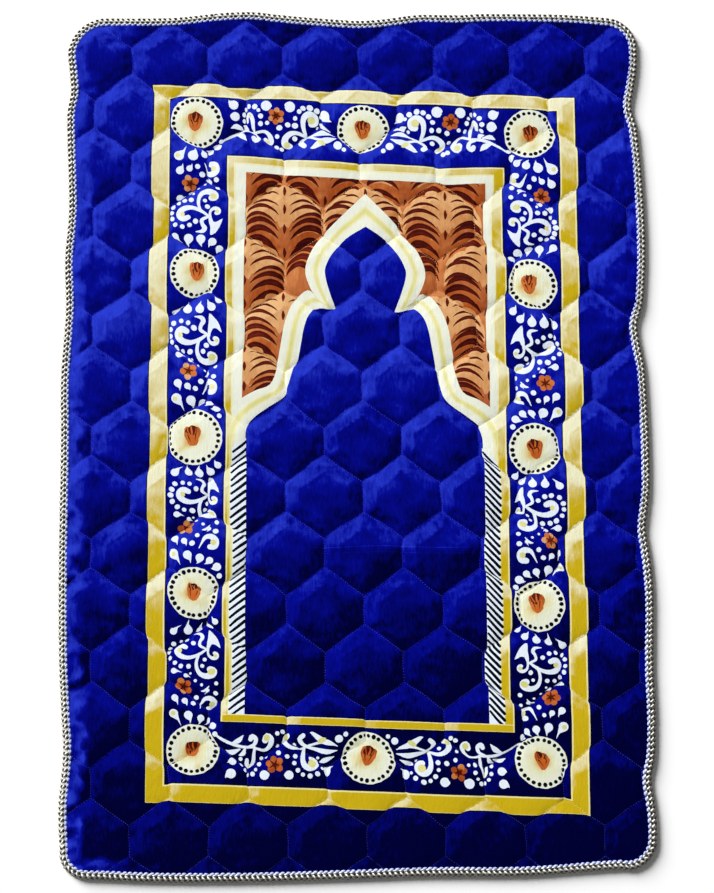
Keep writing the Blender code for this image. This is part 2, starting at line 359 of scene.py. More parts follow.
@dataclass
class RugPrint:
    """The printed pattern: gold frames, medallion border, arch, palm spandrels, hatching.

    Sizes are in millimetres about the middle of the print.
    """

    half_width: float = 293.0
    half_length: float = 491.8
    side_band: float = 23.3
    top_band: float = 18.2
    bottom_band: float = 22.8
    piping: float = 2.0
    dark_line: float = 1.3
    # what shows of the pale line outside the gold band on the left and at the bottom
    faint: float = 0.5
    frame_left: float = -191.6
    frame_right: float = 192.0
    frame_lean: float = 3.4
    frame_top: float = 389.6
    frame_bottom: float = -386.0
    # gold line of the inner frame on the left, right and top
    line_left: float = 8.8
    line_right: float = 13.6
    line_top: float = 9.2
    bar: float = 8.4
    inner_half: float = 167.0
    inner_top: float = 368.6
    medallion_radius: float = 35.0
    bead_ring: float = 30.4
    beads: int = 26
    bud_size: float = 1.10
    smear_radius: float = 13.4
    flower_radius: float = 11.4
    seed: int = 7
    found: list = field(default_factory=list)

    def __post_init__(self) -> None:
        """Start the source of unevenness."""
        self.rng = random.Random(self.seed)

    def add(self, outline: Array, dye: Dye) -> None:
        """Print one shape over those before it."""
        self.found.append(Patch(np.asarray(outline, float), dye))

    def box(self, left: float, bottom: float, right: float, top: float, dye: Dye) -> None:
        """Print an upright rectangle."""
        self.add(np.array([(left, bottom), (right, bottom), (right, top), (left, top)]), dye)

    def rough(self, rows: Array, spread: float) -> Array:
        """Return rows of x, y, each moved a little at random."""
        return rows + [[self.rng.gauss(0, spread), self.rng.gauss(0, spread)] for _ in rows]

    def place(self, motif: Motif, x: float, y: float, matrix: Sequence[Sequence[float]],
              weight: float = 1.0) -> None:
        """Print a motif at a place.

        Args:
            motif: the group of shapes.
            x: where its origin goes.
            y: where its origin goes.
            matrix: the two rows that turn, mirror and stretch it.
            weight: how bold its strokes are, 1 as drawn.
        """
        turn = np.array(matrix, float)
        for patch in motif.patches(self.rng, weight):
            self.add(patch.outline @ turn.T + [x, y], patch.dye)

    def bands(self) -> None:
        """Print the outer gold band, the border ground and the inner frame."""
        w, h, p, dark = self.half_width, self.half_length, self.piping, self.dark_line
        side, top, bottom = self.side_band, self.top_band, self.bottom_band
        self.box(-w - dark, -h - dark, w + dark, h + dark, Dye.NAVY)
        self.box(-w, -h, w, h, Dye.CREAM)
        self.box(-w + self.faint, -h + self.faint, w - p, h - p, Dye.GOLD)
        for more, dye in ((-p, Dye.CREAM), (0.0, Dye.NAVY), (1.4, Dye.BLUE)):
            self.box(-w + side + more, -h + bottom + more, w - side - more, h - top - more, dye)
        left, right, over = self.line_left, self.line_right, self.line_top
        # dye, how far inside the frame's edge on the left, right, top and bottom
        for dye, *inner in ((Dye.NAVY, -dark, -dark, -dark, -1.4), (Dye.CREAM, 0.0, 0.0, 0.0, 0.0),
                            (Dye.GOLD, 1.8, 1.8, 1.8, 0.6),
                            (Dye.CREAM, left, right, over, self.bar),
                            (Dye.WHITE, left + 2.2, right + 1.6, over + 2.2, self.bar)):
            self.add(self.frame_shape(*inner), dye)

    def frame_shape(self, left: float, right: float, top: float, bottom: float) -> Array:
        """Return the inner frame's outline, moved inwards; its upper side sags in the middle.

        Args:
            left: how far inside on the left.
            right: how far inside on the right.
            top: how far inside at the top.
            bottom: how far inside at the bottom.

        Returns:
            The closed outline.
        """
        x0, x1 = self.frame_left + left, self.frame_right - right
        y0 = self.frame_bottom + bottom
        across = np.linspace(x1, x0 + self.frame_lean, 15)
        upper = np.column_stack([across, self.frame_top - top + self.sag(across)])
        return np.vstack([[(x0, y0), (x1, y0)], upper])

    def sag(self, x: Array) -> Array:
        """Return how far the upper side of the inner frame hangs at each place."""
        stops = (-190, -110, -20, 60, 120, 192)
        return np.interp(x, stops, (1.0, -0.8, -2.4, -3.6, -3.2, 0.6))

    def medallion(self, x: float, y: float, size: float) -> None:
        """Print one medallion: white disc, ring of beads, yellow halo and a bud.

        Args:
            x: its middle.
            y: its middle.
            size: 1 as drawn.
        """
        rng = self.rng
        rim = circle((x, y), self.medallion_radius * size, 44)
        self.add(self.rough(rim, 0.35), Dye.WHITE)
        ring = self.bead_ring * size
        start = rng.uniform(0, 1)
        for i in range(self.beads):
            angle = (i + start + rng.gauss(0, 0.05)) * 2 * math.pi / self.beads
            place = (x + ring * math.cos(angle), y + ring * math.sin(angle))
            half = rng.uniform(2.45, 3.0)
            self.add(circle(place, half, 7, rng.uniform(0.85, 1.15), angle), Dye.NAVY)
        self.bud(x + rng.uniform(-1.5, 0.5), y + 1.5, self.bud_size * size)

    def bud(self, x: float, y: float, size: float) -> None:
        """Print an upright half-open bud on the patch of plush that its halo spreads from.

        Args:
            x: its middle.
            y: its middle.
            size: 1 as drawn.
        """
        rng = self.rng
        smear = circle((x + rng.uniform(-3.5, 0.5), y - 2.5), self.smear_radius * size, 14,
                       rng.uniform(0.70, 0.84), rng.uniform(-0.4, 0.4))
        self.add(self.rough(smear, 0.9), Dye.BUTTER)
        lean = rng.uniform(-0.22, 0.22)
        turn = np.array([(math.cos(lean), math.sin(lean)), (-math.sin(lean), math.cos(lean))])
        # dye, x, y, half height, width over height, turn, unevenness
        petals = ((Dye.COPPER, -3.4, 1.6, 9.0, 0.62, 0.30, 0.35),
                  (Dye.COPPER, 3.6, 1.2, 8.8, 0.62, -0.32, 0.35),
                  (Dye.ORANGE, 0.2, -1.2, 11.0, 0.66, 0.0, 0.35),
                  (Dye.MAROON, -0.4, 5.6, 5.8, 1.12, 0.0, 0.9))
        for dye, u, v, half, wide, slant, rough in petals:
            rim = self.rough(circle((u, v), half, 12, wide, slant), rough)
            self.add(rim @ turn * size + [x, y], dye)
        # petal edges over the dark top and creases below it: dye, rows of x, y, width
        edges = ((Dye.COPPER, [(-5.0, 9.0, 0.5), (-4.4, 4.6, 1.7), (-2.6, 0.0, 1.5)]),
                 (Dye.ORANGE, [(0.6, 10.4, 0.5), (0.8, 6.0, 2.2), (0.2, 1.6, 2.4)]),
                 (Dye.COPPER, [(5.2, 8.0, 0.5), (4.2, 4.0, 1.5), (2.6, 0.4, 1.3)]),
                 (Dye.MAROON, [(-4.6, 0.6, 1.6), (-3.4, -3.6, 1.1), (-1.6, -8.0, 0.3)]),
                 (Dye.MAROON, [(3.8, 1.0, 1.5), (3.2, -2.6, 1.0), (2.0, -6.0, 0.3)]))
        for dye, rows in edges:
            path = np.array(rows)
            path[:, :2] = self.rough(path[:, :2], 0.5) @ turn * size + [x, y]
            self.add(stroke(path, 2), dye)

    def flower(self, x: float, y: float, kind: int) -> None:
        """Print one small flower: uneven petals round a dark, blotched heart.

        Args:
            x: its middle.
            y: its middle.
            kind: picks its tones and how many petals it has.
        """
        rng = self.rng
        petals, turn = 5 + kind % 2, rng.uniform(0, 1)
        reach = self.flower_radius * 0.58
        tones = ((Dye.CLAY, Dye.SAND), (Dye.ORANGE, Dye.SAND), (Dye.ORANGE, Dye.COPPER))[kind % 3]
        step = 2 * math.pi / petals
        for k in range(petals):
            angle = step * (k + turn) + rng.gauss(0, 0.12)
            place = (x + reach * math.cos(angle), y + reach * math.sin(angle))
            petal = circle(place, rng.uniform(3.8, 4.8), 9, rng.uniform(1.0, 1.3), angle)
            self.add(petal, tones[k % 2])
        self.add(circle((x, y), self.flower_radius * 0.48, 10, 1.1), Dye.COPPER)
        for k in range(petals):
            angle, out = step * (k + turn + 0.5), rng.uniform(6.2, 8.4)
            way = np.array([math.cos(angle), math.sin(angle)])
            rows = [(*(way * part * out + [x, y]), wide)
                    for part, wide in ((0.2, 2.2), (0.6, 1.9), (1.0, 0.4))]
            self.add(stroke(rows, 2), Dye.MAROON)
        self.add(circle((x, y), rng.uniform(2.6, 3.4), 9, 1.15, turn), Dye.MAROON)

    def border(self) -> None:
        """Print the medallions, scrolls, flowers and seeds of the border."""
        rows = [438.0, 226.0, -3.0, -214.0, -423.6]
        # flower height, side of its scroll, distance to the medallion beyond it, weight
        upright = [(351.5, -1, 125.5, 1.0), (87.5, 1, 138.5, 0.96), (-126.2, 1, 123.2, 0.93),
                   (-339.6, 1, 125.6, 0.87)]
        reach = 133.6
        for side, out in ((-1, -242.4), (1, 244.4)):
            for y, facing, to_medallion, weight in upright:
                grow = to_medallion / reach
                self.place(SCROLL, out, y, [(-side, 0), (0, facing * grow)], weight)
                self.place(SEEDS, out, y, [(-side, 0), (0, facing * 0.97)], weight)
                self.flower(out, y, round(abs(y)) + (side > 0))
        for y, down, weight in ((451.0, -1, 1.05), (-441.4, 1, 0.88)):
            for x, inner in ((-121.0, 1), (118.6, -1)):
                self.place(WIDE_SCROLL, x, y, [(inner, 0), (0, down)], weight)
                self.place(NARROW_SCROLL, x, y, [(-inner, 0), (0, down)], weight)
                self.flower(x, y, round(abs(x)) + (down > 0))
        for x in (-231.4, 229.4):
            for i, y in enumerate(rows):
                self.medallion(x, y, 1.05 if i == 2 and x < 0 else 0.99)
        self.medallion(-1.0, 436.8, 0.98)
        self.medallion(0.6, -426.0, 0.99)

    def inside(self, shape: Array) -> Array:
        """Keep a shape of the spandrels within their ground.

        Args:
            shape: its outline.

        Returns:
            The outline, drawn in where it ran over.
        """
        half = self.inner_half
        top = self.inner_top + self.sag(shape[:, 0])
        left = -half + self.frame_lean * np.clip(shape[:, 1] / 300, 0, 1)
        return np.column_stack([np.clip(shape[:, 0], left, half), np.minimum(shape[:, 1], top)])

    def frond(self, x: float, top: float, side: int, shape: Sequence[float], blade: Dye) -> None:
        """Print one arching frond: a broad lit blade with its dark underside.

        Args:
            x: the stem of its palm.
            top: height of the palm's tip.
            side: 1 to the right, -1 to the left.
            shape: a row of the palm's table, without the dye.
            blade: dye of the lit blade.
        """
        rng = self.rng
        below, near, reach, lift, fall, thick = shape
        reach *= rng.uniform(0.95, 1.05)
        lift *= rng.uniform(0.90, 1.12)
        base = top - below + rng.gauss(0, 0.8)
        span = reach - near
        # share of the span, height, share of the thickness
        way = [(0.0, 0.0, 0.10), (0.16, lift * 0.52, 0.55), (0.42, lift * 0.95, 0.90),
               (0.66, lift * 0.98, 1.05), (0.88, lift - fall * 0.45, 0.75),
               (1.0, lift - fall, 0.12)]
        rows = np.array([(x + side * (near + span * share), base + up, thick * wide)
                         for share, up, wide in way])
        broad = rows + [0, thick * 0.4 + 3.6, 0]
        broad[:, 2] = [3.0, 7.0, 8.6, 8.6, 6.6, 2.4]
        broad[0, 1] -= 2.0
        self.add(self.inside(stroke(broad, 3)), blade)
        self.add(self.inside(stroke(rows, 3)), Dye.BROWN)
        if thick > 4.5:
            glow = rows[1:5] - [0, thick * 0.10, 0]
            glow[:, 2] = (0.4, thick * 0.26, thick * 0.30, 0.4)
            self.add(self.inside(stroke(glow, 3)), Dye.MAROON)

    def palm(self, x: float, top: float) -> None:
        """Print one palm: arching fronds down both sides of a stem with dark spindles.

        Args:
            x: its stem.
            top: height of its tip.
        """
        crown = [(0, 3), (16, -8), (30, -16), (44, -22), (53, -33), (55, -52), (53, -72),
                 (47, -90), (36, -106), (18, -122), (0, -130)]
        low = [(0, -52), (18, -66), (40, -62), (55, -58), (53, -76), (46, -94), (34, -110),
               (16, -124), (0, -130)]
        for outline, dye in ((crown, Dye.SAND), (low, Dye.CLAY)):
            half = np.array(outline, float)
            whole = np.vstack([half, (half * [-1, 1])[::-1][1:-1]])
            self.add(self.inside(smooth_curve(whole + [x, top], 2, closed=True)), dye)
        # below the tip, nearest and farthest from the stem, lift, fall, thickness, dye
        fronds = (
            (13, 7, 25, 4.0, 2.0, 3.0, Dye.SAND), (26, 7, 42, 9.0, 6.0, 4.0, Dye.SAND),
            (38, 7, 51, 13.0, 10.0, 5.4, Dye.SAND), (49, 11, 54, 12.0, 11.0, 4.8, Dye.SAND),
            (60, 7, 54, 15.0, 11.0, 6.8, Dye.CLAY), (71, 8, 53, 15.0, 11.0, 8.0, Dye.CLAY),
            (81, 13, 52, 12.0, 12.0, 6.4, Dye.COPPER), (91, 7, 51, 17.0, 12.0, 8.6, Dye.COPPER),
            (102, 7, 48, 16.0, 12.0, 7.2, Dye.COPPER), (113, 6, 44, 17.0, 12.0, 8.6, Dye.COPPER),
            (124, 6, 40, 17.0, 12.0, 8.0, Dye.COPPER),
        )
        for *shape, dye in reversed(fronds):
            for side in (-1, 1):
                self.frond(x, top, side, shape, dye)
        for below in (6.0, 31.0, 57.0, 88.0):
            y = top - below
            spindle = [(x, y + 5.2, 2.0), (x + 0.4, y, 4.6), (x, y - 5.4, 2.0)]
            if y < self.inner_top - 6:
                self.add(self.inside(stroke(spindle, 2)), Dye.MAROON)

    def spandrels(self) -> None:
        """Print the clay ground beside the arch and its rows of palms."""
        half = self.inner_half
        across = np.linspace(half, -half, 15)
        upper = np.column_stack([across, np.full(15, self.inner_top + 9.0)])
        ground = np.vstack([[(-half, 8.0), (half, 8.0)], upper])
        self.add(self.inside(ground), Dye.CLAY)
        step = 74.5
        for row in range(6):
            top = 349.0 + step - row * step
            stems = (-164.0, -55.0, 56.0, 166.0) if row % 2 == 0 else (-111.5, 0.5, 110.5)
            for x in stems:
                if abs(x) > 100 or top > 300:
                    self.palm(x, top)

    def arch_side(self, spread: float) -> list[tuple[float, float]]:
        """Return the right half of the arch, moved outwards.

        Args:
            spread: how far outside the field's own edge, in millimetres.

        Returns:
            Points from the apex down to the frame, for an arch about x = 0.
        """
        # x, y, share of the spread to the right, share of the spread upwards
        rows = [
            (0.0, 298.0, 0.00, 1.75), (25.6, 281.0, 0.62, 0.80), (44.4, 259.5, 0.84, 0.52),
            (53.4, 243.0, 0.96, 0.26), (55.8, 230.0, 1.00, 0.02), (50.0, 207.0, 0.96, 0.10),
            (40.0, 181.0, 0.95, 0.55), (62.6, 184.6, 0.60, 0.92), (77.0, 174.6, 0.80, 0.62),
            (85.0, 156.0, 0.98, 0.24), (90.2, 128.0, 1.00, 0.12), (97.6, 90.4, 0.98, 0.24),
            (109.4, 60.6, 0.90, 0.45), (134.0, 42.4, 0.72, 0.80), (151.6, 28.6, 0.85, 0.80),
            (161.2, 12.0, 1.45, 0.40), (163.4, -10.0, 1.90, 0.10),
        ]
        return [(x + spread * right, y + spread * up) for x, y, right, up in rows]

    def arch_shape(self, spread: float, foot: float) -> Array:
        """Return the closed outline of the arch and the field below it.

        Args:
            spread: how far outside the field's own edge.
            foot: height of its level lower side.

        Returns:
            The closed outline.
        """
        axis = 0.8
        right = self.arch_side(spread)
        # the apex and the notch stay sharp: curves run between them
        curves = [smooth_curve(right[:7], 4), smooth_curve(right[6:], 4)[1:]]
        half = np.vstack(curves)
        half = np.vstack([half, [(half[-1][0], foot)]])
        mirrored = (half * [-1, 1])[::-1][:-1]
        whole = np.vstack([half, mirrored])
        # the field's foot lies a little to the left of the arch
        whole[:, 0] += axis - 2.2 * np.clip((40.0 - whole[:, 1]) / 50.0, 0, 1)
        return whole

    def arch(self) -> None:
        """Print the arch's pale band with its soft centre line, and the blue field."""
        foot = self.frame_bottom + 20
        left, right = self.frame_left + self.line_left, self.frame_right - self.line_right

        def between(shape: Array, over: float) -> Array:
            """Keep a shape between the gold lines of the frame, or that far over them."""
            return np.column_stack([np.clip(shape[:, 0], left - over, right + over), shape[:, 1]])

        # how far outside the field, how far over the frame's lines, dye
        for spread, over, dye in ((25.0, -3.0, Dye.WHITE), (15.8, 3.0, Dye.CREAM),
                                  (14.0, 3.0, Dye.OLIVE), (9.8, 3.0, Dye.CREAM),
                                  (8.0, 3.0, Dye.WHITE)):
            self.add(between(self.arch_shape(spread, foot), over), dye)
        floor = self.frame_bottom + self.bar + 1.0
        self.add(self.arch_shape(0.0, floor), Dye.BLUE)

    def hatching(self) -> None:
        """Print the slanting strokes beside the field and the gold bar below it."""
        rng = self.rng
        # left and right side, upper end, rise of a stroke, distance between strokes
        for x0, x1, top, rise, pitch in ((-182.2, -162.0, 4.0, 14.6, 9.7),
                                         (160.4, 180.0, 0.0, -19.0, 9.05)):
            bottom = self.frame_bottom + self.bar
            slanted = [(x1, top - 12 + rise / 2), (x0, top - 12 - rise / 2)]
            self.add(np.array([(x0, bottom), (x1, bottom), *slanted]), Dye.ICE)
            y = top - 18
            while y > bottom + 4:
                thick = rng.uniform(3.2, 3.8)
                y0, y1 = y - rise / 2, y + rise / 2
                jitter = rng.gauss(0, 0.5)
                rows = [(x0 + 0.8 + abs(jitter), y0 + jitter, thick * 0.8),
                        ((x0 + x1) / 2, (y0 + y1) / 2, thick),
                        (x1 - 0.4, y1 + jitter, thick * 1.1)]
                self.add(stroke(rows, 2), Dye.NAVY)
                y -= pitch
        left, right, base = self.frame_left + 1.8, self.frame_right - 1.8, self.frame_bottom
        self.box(left, base + 0.6, right, base + self.bar + 1.2, Dye.CREAM)
        self.box(left, base + 0.6, right, base + self.bar, Dye.GOLD)

    def patches(self) -> list[Patch]:
        """Print everything.

        Returns:
            Every printed shape, in the order in which they cover each other.
        """
        self.bands()
        self.spandrels()
        self.arch()
        self.hatching()
        self.border()
        return self.found


# ---- the quilted pad
def winding(points: Array, outline: Array) -> Array:
    """Tell how often a closed outline winds round each point.

    Args:
        points: rows of x, y in order of rising y.
        outline: rows of x, y.

    Returns:
        One whole number for each point; 0 is outside.
    """
    count = np.zeros(len(points), int)
    heights = points[:, 1]
    for (x0, y0), (x1, y1) in zip(outline, np.roll(outline, -1, axis=0)):
        if y0 == y1:
            continue
        first, last = np.searchsorted(heights, (min(y0, y1), max(y0, y1)))
        if first == last:
            continue
        run = points[first:last]
        beyond = x0 + (x1 - x0) * (run[:, 1] - y0) / (y1 - y0) > run[:, 0]
        count[first:last] += beyond if y1 > y0 else -beyond.astype(int)
    return count


def covering(points: Array, patches: Sequence[Patch]) -> Array:
    """Find the printed colour at each point: that of the last patch over it.

    Args:
        points: rows of x, y.
        patches: in the order in which they cover each other.

    Returns:
        The place of the colour in `list(Dye)` for each point; plain blue outside them all.
    """
    order = np.argsort(points[:, 1], kind="stable")
    sorted_points = points[order]
    heights = sorted_points[:, 1]
    codes = {dye: i for i, dye in enumerate(Dye)}
    found = np.full(len(points), codes[Dye.BLUE])
    for patch in patches:
        low, high = patch.outline.min(axis=0), patch.outline.max(axis=0)
        first, last = np.searchsorted(heights, (low[1], high[1]))
        across = sorted_points[first:last, 0]
        near = first + np.flatnonzero((across > low[0]) & (across < high[0]))
        if len(near):
            inside = near[winding(sorted_points[near], patch.outline) != 0]
            found[inside] = codes[patch.dye]
    spread = np.empty_like(found)
    spread[order] = found
    return spread


def within(points: Array, outline: Array) -> Array:
    """Tell which points lie inside a closed outline.

    Args:
        points: rows of x, y.
        outline: rows of x, y.

    Returns:
        True or False for each point.
    """
    order = np.argsort(points[:, 1], kind="stable")
    found = np.zeros(len(points), bool)
    found[order] = winding(points[order], outline) != 0
    return found


def around(corners: Array, spacing: float) -> list[Array]:
    """Return points along a closed outline, at least one from each corner.

    Args:
        corners: rows of x, y.
        spacing: how far apart the points are, roughly.

    Returns:
        The points.
    """
    found = []
    for start, end in zip(corners, np.roll(corners, -1, axis=0)):
        parts = max(1, round(float(np.linalg.norm(end - start)) / spacing))
        found.extend(start + (end - start) * k / parts for k in range(parts))
    return found


def written(bm: BMesh, name: str) -> Mesh:
    """Write a bmesh to a new mesh and free it.

    Args:
        bm: the bmesh.
        name: of the mesh.

    Returns:
        The mesh.
    """
    mesh = bpy.data.meshes.new(name)
    bm.to_mesh(mesh)
    bm.free()
    return mesh


@dataclass(frozen=True)
class Ripple:
    """A smooth random field of about one wavelength, as a sum of plane waves."""

    length: float
    seed: int
    stretch: float = 1.0
    waves: int = 22

    def at(self, x: Array, y: Array) -> Array:
        """Return the field, mostly between -1 and 1.

        Args:
            x: places in metres.
            y: places in metres.

        Returns:
            One value for each place.
        """
        rng = np.random.default_rng(self.seed)
        total = np.zeros_like(x)
        for _ in range(self.waves):
            angle, phase = rng.uniform(0, 2 * math.pi, 2)
            wave = 2 * math.pi / (self.length * rng.uniform(0.7, 1.5))
            total += np.sin(wave * (x * math.cos(angle) * self.stretch + y * math.sin(angle))
                            + phase)
        return total / math.sqrt(self.waves / 2) * 0.6


@dataclass
class HexPlace:
    """Where places lie in the quilting: their pad, their place in it, the nearest seam."""

    row: Array
    column: Array
    x: Array
    y: Array
    seam: Array


@dataclass(frozen=True)
class HexQuilt:
    """The sewn hexagons, in metres."""

    pitch_x: float = 0.1046
    pitch_y: float = 0.0765
    side: float = 0.0390
    origin_x: float = 0.0100
    origin_y: float = 0.2005
    lean: float = 0.0105
    rows: int = 9
    columns: int = 6
    wander: float = 0.0013

    def strayed(self, places: Array) -> Array:
        """Move places of the straight quilting to where they lie on the sewn rug.

        Args:
            places: rows of x, y.

        Returns:
            The rows as sewn.
        """
        strays = [Ripple(0.055, seed, 1.0, 9).at(*places.T) for seed in (51, 52)]
        return places + self.wander * np.column_stack(strays)

    @property
    def half(self) -> float:
        """Return half the width of a hexagon."""
        return self.pitch_x / 2

    @property
    def rise(self) -> float:
        """Return the height of a slanting side."""
        return self.pitch_y - self.side

    @property
    def tip(self) -> float:
        """Return the distance from a hexagon's centre to its tip."""
        return self.side / 2 + self.rise

    @property
    def slant(self) -> float:
        """Return the length of a slanting side."""
        return math.hypot(self.half, self.rise)

    def center(self, row: int, column: int) -> Array:
        """Find the centre of a hexagon.

        Args:
            row: its row.
            column: its column.

        Returns:
            Its x and y.
        """
        y = self.origin_y - self.tip + row * self.pitch_y
        x = self.origin_x + column * self.pitch_x + (self.half if row % 2 else 0.0)
        return np.array([x - self.lean * y, y])

    def pads(self) -> list[tuple[int, int]]:
        """Return the row and column of every hexagon that may touch the rug."""
        return [(row, column) for row in range(-self.rows - 1, self.rows)
                for column in range(-self.columns, self.columns)]

    def corners(self, row: int, column: int, margin: float) -> Array:
        """Return a hexagon's six corners, moved inwards from its seams.

        Args:
            row: its row.
            column: its column.
            margin: how far inside the seams.

        Returns:
            Six rows of x, y, counter-clockwise from the upper tip.
        """
        x = self.half - margin
        tip = self.tip - margin * self.slant / self.half
        shoulder = tip - x * self.rise / self.half
        local = np.array([(0, tip), (-x, shoulder), (-x, -shoulder), (0, -tip),
                          (x, -shoulder), (x, shoulder)])
        local[:, 0] -= self.lean * local[:, 1]
        return local + self.center(row, column)

    def locate(self, x: Array, y: Array) -> HexPlace:
        """Find the hexagon of each place and how far it is from the nearest seam.

        Args:
            x: places in metres.
            y: places in metres.

        Returns:
            The hexagons and the places in them.
        """
        laid = np.column_stack([x, y])
        straight = laid
        for _ in range(3):
            straight = laid - (self.strayed(straight) - straight)
        x, y = straight.T
        upright_x = x + self.lean * y
        guess = np.round((y - self.origin_y + self.tip) / self.pitch_y).astype(int)
        best = HexPlace(guess, np.zeros_like(guess), np.zeros_like(x), np.zeros_like(x),
                        np.full(x.shape, -1.0))
        for step in (-1, 0, 1):
            row = guess + step
            shift = self.origin_x + np.where(row % 2 != 0, self.half, 0.0)
            column = np.round((upright_x - shift) / self.pitch_x).astype(int)
            local_x = upright_x - shift - column * self.pitch_x
            local_y = y - self.origin_y + self.tip - row * self.pitch_y
            slanting = ((self.tip - np.abs(local_y)) * self.half
                        - np.abs(local_x) * self.rise) / self.slant
            seam = np.minimum(self.half - np.abs(local_x), slanting)
            nearer = seam > best.seam
            for name, values in (("row", row), ("column", column), ("x", local_x),
                                 ("y", local_y), ("seam", seam)):
                setattr(best, name, np.where(nearer, values, getattr(best, name)))
        best.seam = np.maximum(best.seam, 0.0)
        return best


@dataclass
class QuiltSurface:
    """The height of the pad's plush face above the floor, in metres."""

    quilt: HexQuilt
    rim: Array
    seam_height: float = 0.0052
    crown_height: float = 0.0122
    rim_height: float = 0.0048
    lap: float = 0.0078
    draw_in: float = 0.0200
    # distance from the seam, share of the crown: on the creased and on the soft flanks
    creased: tuple = ((0.0, 0.0), (0.0035, 0.31), (0.0200, 0.76), (0.0360, 0.95), (0.0523, 1.0))
    soft: tuple = ((0.0, 0.0), (0.0050, 0.34), (0.0160, 0.68), (0.0300, 0.91), (0.0523, 1.0))
    crease: float = 0.00035
    fan_height: float = 0.00022
    pucker: float = 0.00085
    wrinkle: float = 0.00070
    # how much one pad's crown differs from the next in height and in tilt
    unequal: float = 0.0007
    tilt: float = 0.010
    # distances from the rim are worked out up to this
    far: float = 0.050
    seed: int = 11

    def __post_init__(self) -> None:
        """Work out the tables that the heights are read from."""
        self.tables = smooth_curve(self.creased, 16), smooth_curve(self.soft, 16)
        rng = np.random.default_rng(self.seed)
        # crown, tilt across, tilt along, shift of the print across and along
        self.habits = rng.normal(0, 1, (40, 40, 5)).clip(-2, 2)
        self.puckers = Ripple(0.016, 21)
        self.wrinkles = Ripple(0.045, 22, 0.6)
        self.swells = Ripple(0.150, 23)

    def habit(self, place: HexPlace) -> Array:
        """Return the five unevennesses of the pad under each place."""
        return self.habits[place.row + 20, place.column + 20]

    def upper_left(self, place: HexPlace) -> Array:
        """Tell the lit flanks of the pads from the others.

        Args:
            place: places in the quilting.

        Returns:
            1 on the upper left flanks, 0 on the lower right ones.
        """
        away = np.hypot(place.x, place.y) + 0.004
        lit = TO_LIGHT[1] * place.y + TO_LIGHT[0] * place.x
        return np.clip(0.35 + 1.1 * lit / away, 0, 1)

    def flank(self, place: HexPlace) -> Array:
        """Return how far the nearest side of each pad faces the light.

        Args:
            place: places in the quilting.

        Returns:
            -1 for a side that faces away to 1 for one that faces it.
        """
        quilt = self.quilt
        upright = quilt.half - np.abs(place.x) < place.seam + 1e-6
        across = np.sign(place.x) * np.where(upright, 1.0, quilt.rise / quilt.slant)
        along = np.sign(place.y) * np.where(upright, 0.0, quilt.half / quilt.slant)
        return TO_LIGHT[1] * along + TO_LIGHT[0] * across

    def fan(self, place: HexPlace) -> Array:
        """Return the small wrinkles that spread from the upper tip of each pad.

        Args:
            place: places in the quilting.

        Returns:
            -1 in a trough to 1 on a wrinkle.
        """
        habit = self.habit(place)
        down = self.quilt.tip - place.y
        reach = np.hypot(place.x, down)
        turn = np.arctan2(place.x, down + 0.002)
        near = np.exp(-((reach - 0.024) / 0.013) ** 2)
        return np.sin(turn * (9 + 2 * habit[:, 3]) + 3 * habit[:, 4]) * near

    def to_rim(self, x: Array, y: Array) -> Array:
        """Return how far each place is from the rim, where that is near.

        Args:
            x: places in metres.
            y: places in metres.

        Returns:
            The distance, at most `far`.
        """
        far = self.far
        found = np.full(x.shape, far)
        points = np.column_stack([x, y])
        for start, end in zip(self.rim, np.roll(self.rim, -1, axis=0)):
            middle = (start + end) / 2
            near = np.flatnonzero((np.abs(x - middle[0]) < far) & (np.abs(y - middle[1]) < far))
            if not len(near):
                continue
            run = end - start
            share = np.clip((points[near] - start) @ run / (run @ run), 0, 1)
            away = np.linalg.norm(points[near] - start - share[:, None] * run, axis=1)
            found[near] = np.minimum(found[near], away)
        return found

    def height(self, x: Array, y: Array, rim: Array) -> Array:
        """Return the height of the face.

        Args:
            x: places in metres.
            y: places in metres.
            rim: their distance from the rim.

        Returns:
            The heights.
        """
        place = self.quilt.locate(x, y)
        habit, seam, upper = self.habit(place), place.seam, self.upper_left(place)
        share, soft = (np.interp(seam, table[:, 0], table[:, 1]) for table in self.tables)
        share = soft + (share - soft) * upper
        bulge = self.crown_height - self.seam_height + self.unequal * habit[:, 0]
        crown = self.seam_height + bulge * share
        crown += share * (habit[:, 1] * self.tilt * place.x + habit[:, 2] * self.tilt * place.y)
        # the crease round the crown, and the wrinkles from its upper tip
        crown += self.crease * np.exp(-((seam - 0.0195) / 0.0022) ** 2) * upper
        crown += self.fan_height * self.fan(place)
        # puckers beside the seams and along the rim
        beside = np.exp(-(seam / 0.015) ** 2) * (1 - np.exp(-(seam / 0.006) ** 2))
        gathers = np.exp(-((rim - self.lap) / 0.022) ** 2)
        crown += self.pucker * self.puckers.at(x, y) * (beside + 0.8 * gathers)
        crown += self.wrinkle * (self.wrinkles.at(x, y) * (0.25 + 0.75 * share)
                                 + 0.6 * self.swells.at(x, y) * share)
        inside = np.clip((rim - self.lap) / self.draw_in, 0, 1)
        draw = inside * (2 - inside)
        return self.rim_height + (crown - self.rim_height) * draw

    def slope(self, x: Array, y: Array, rim: Array) -> Array:
        """Return the rise of the face across and along, by small steps.

        Args:
            x: places in metres.
            y: places in metres.
            rim: their distance from the rim.

        Returns:
            Rows of rise across, rise along.
        """
        step = 0.0007
        across = self.height(x + step, y, rim) - self.height(x - step, y, rim)
        along = self.height(x, y + step, rim) - self.height(x, y - step, rim)
        return np.column_stack([across, along]) / (2 * step)


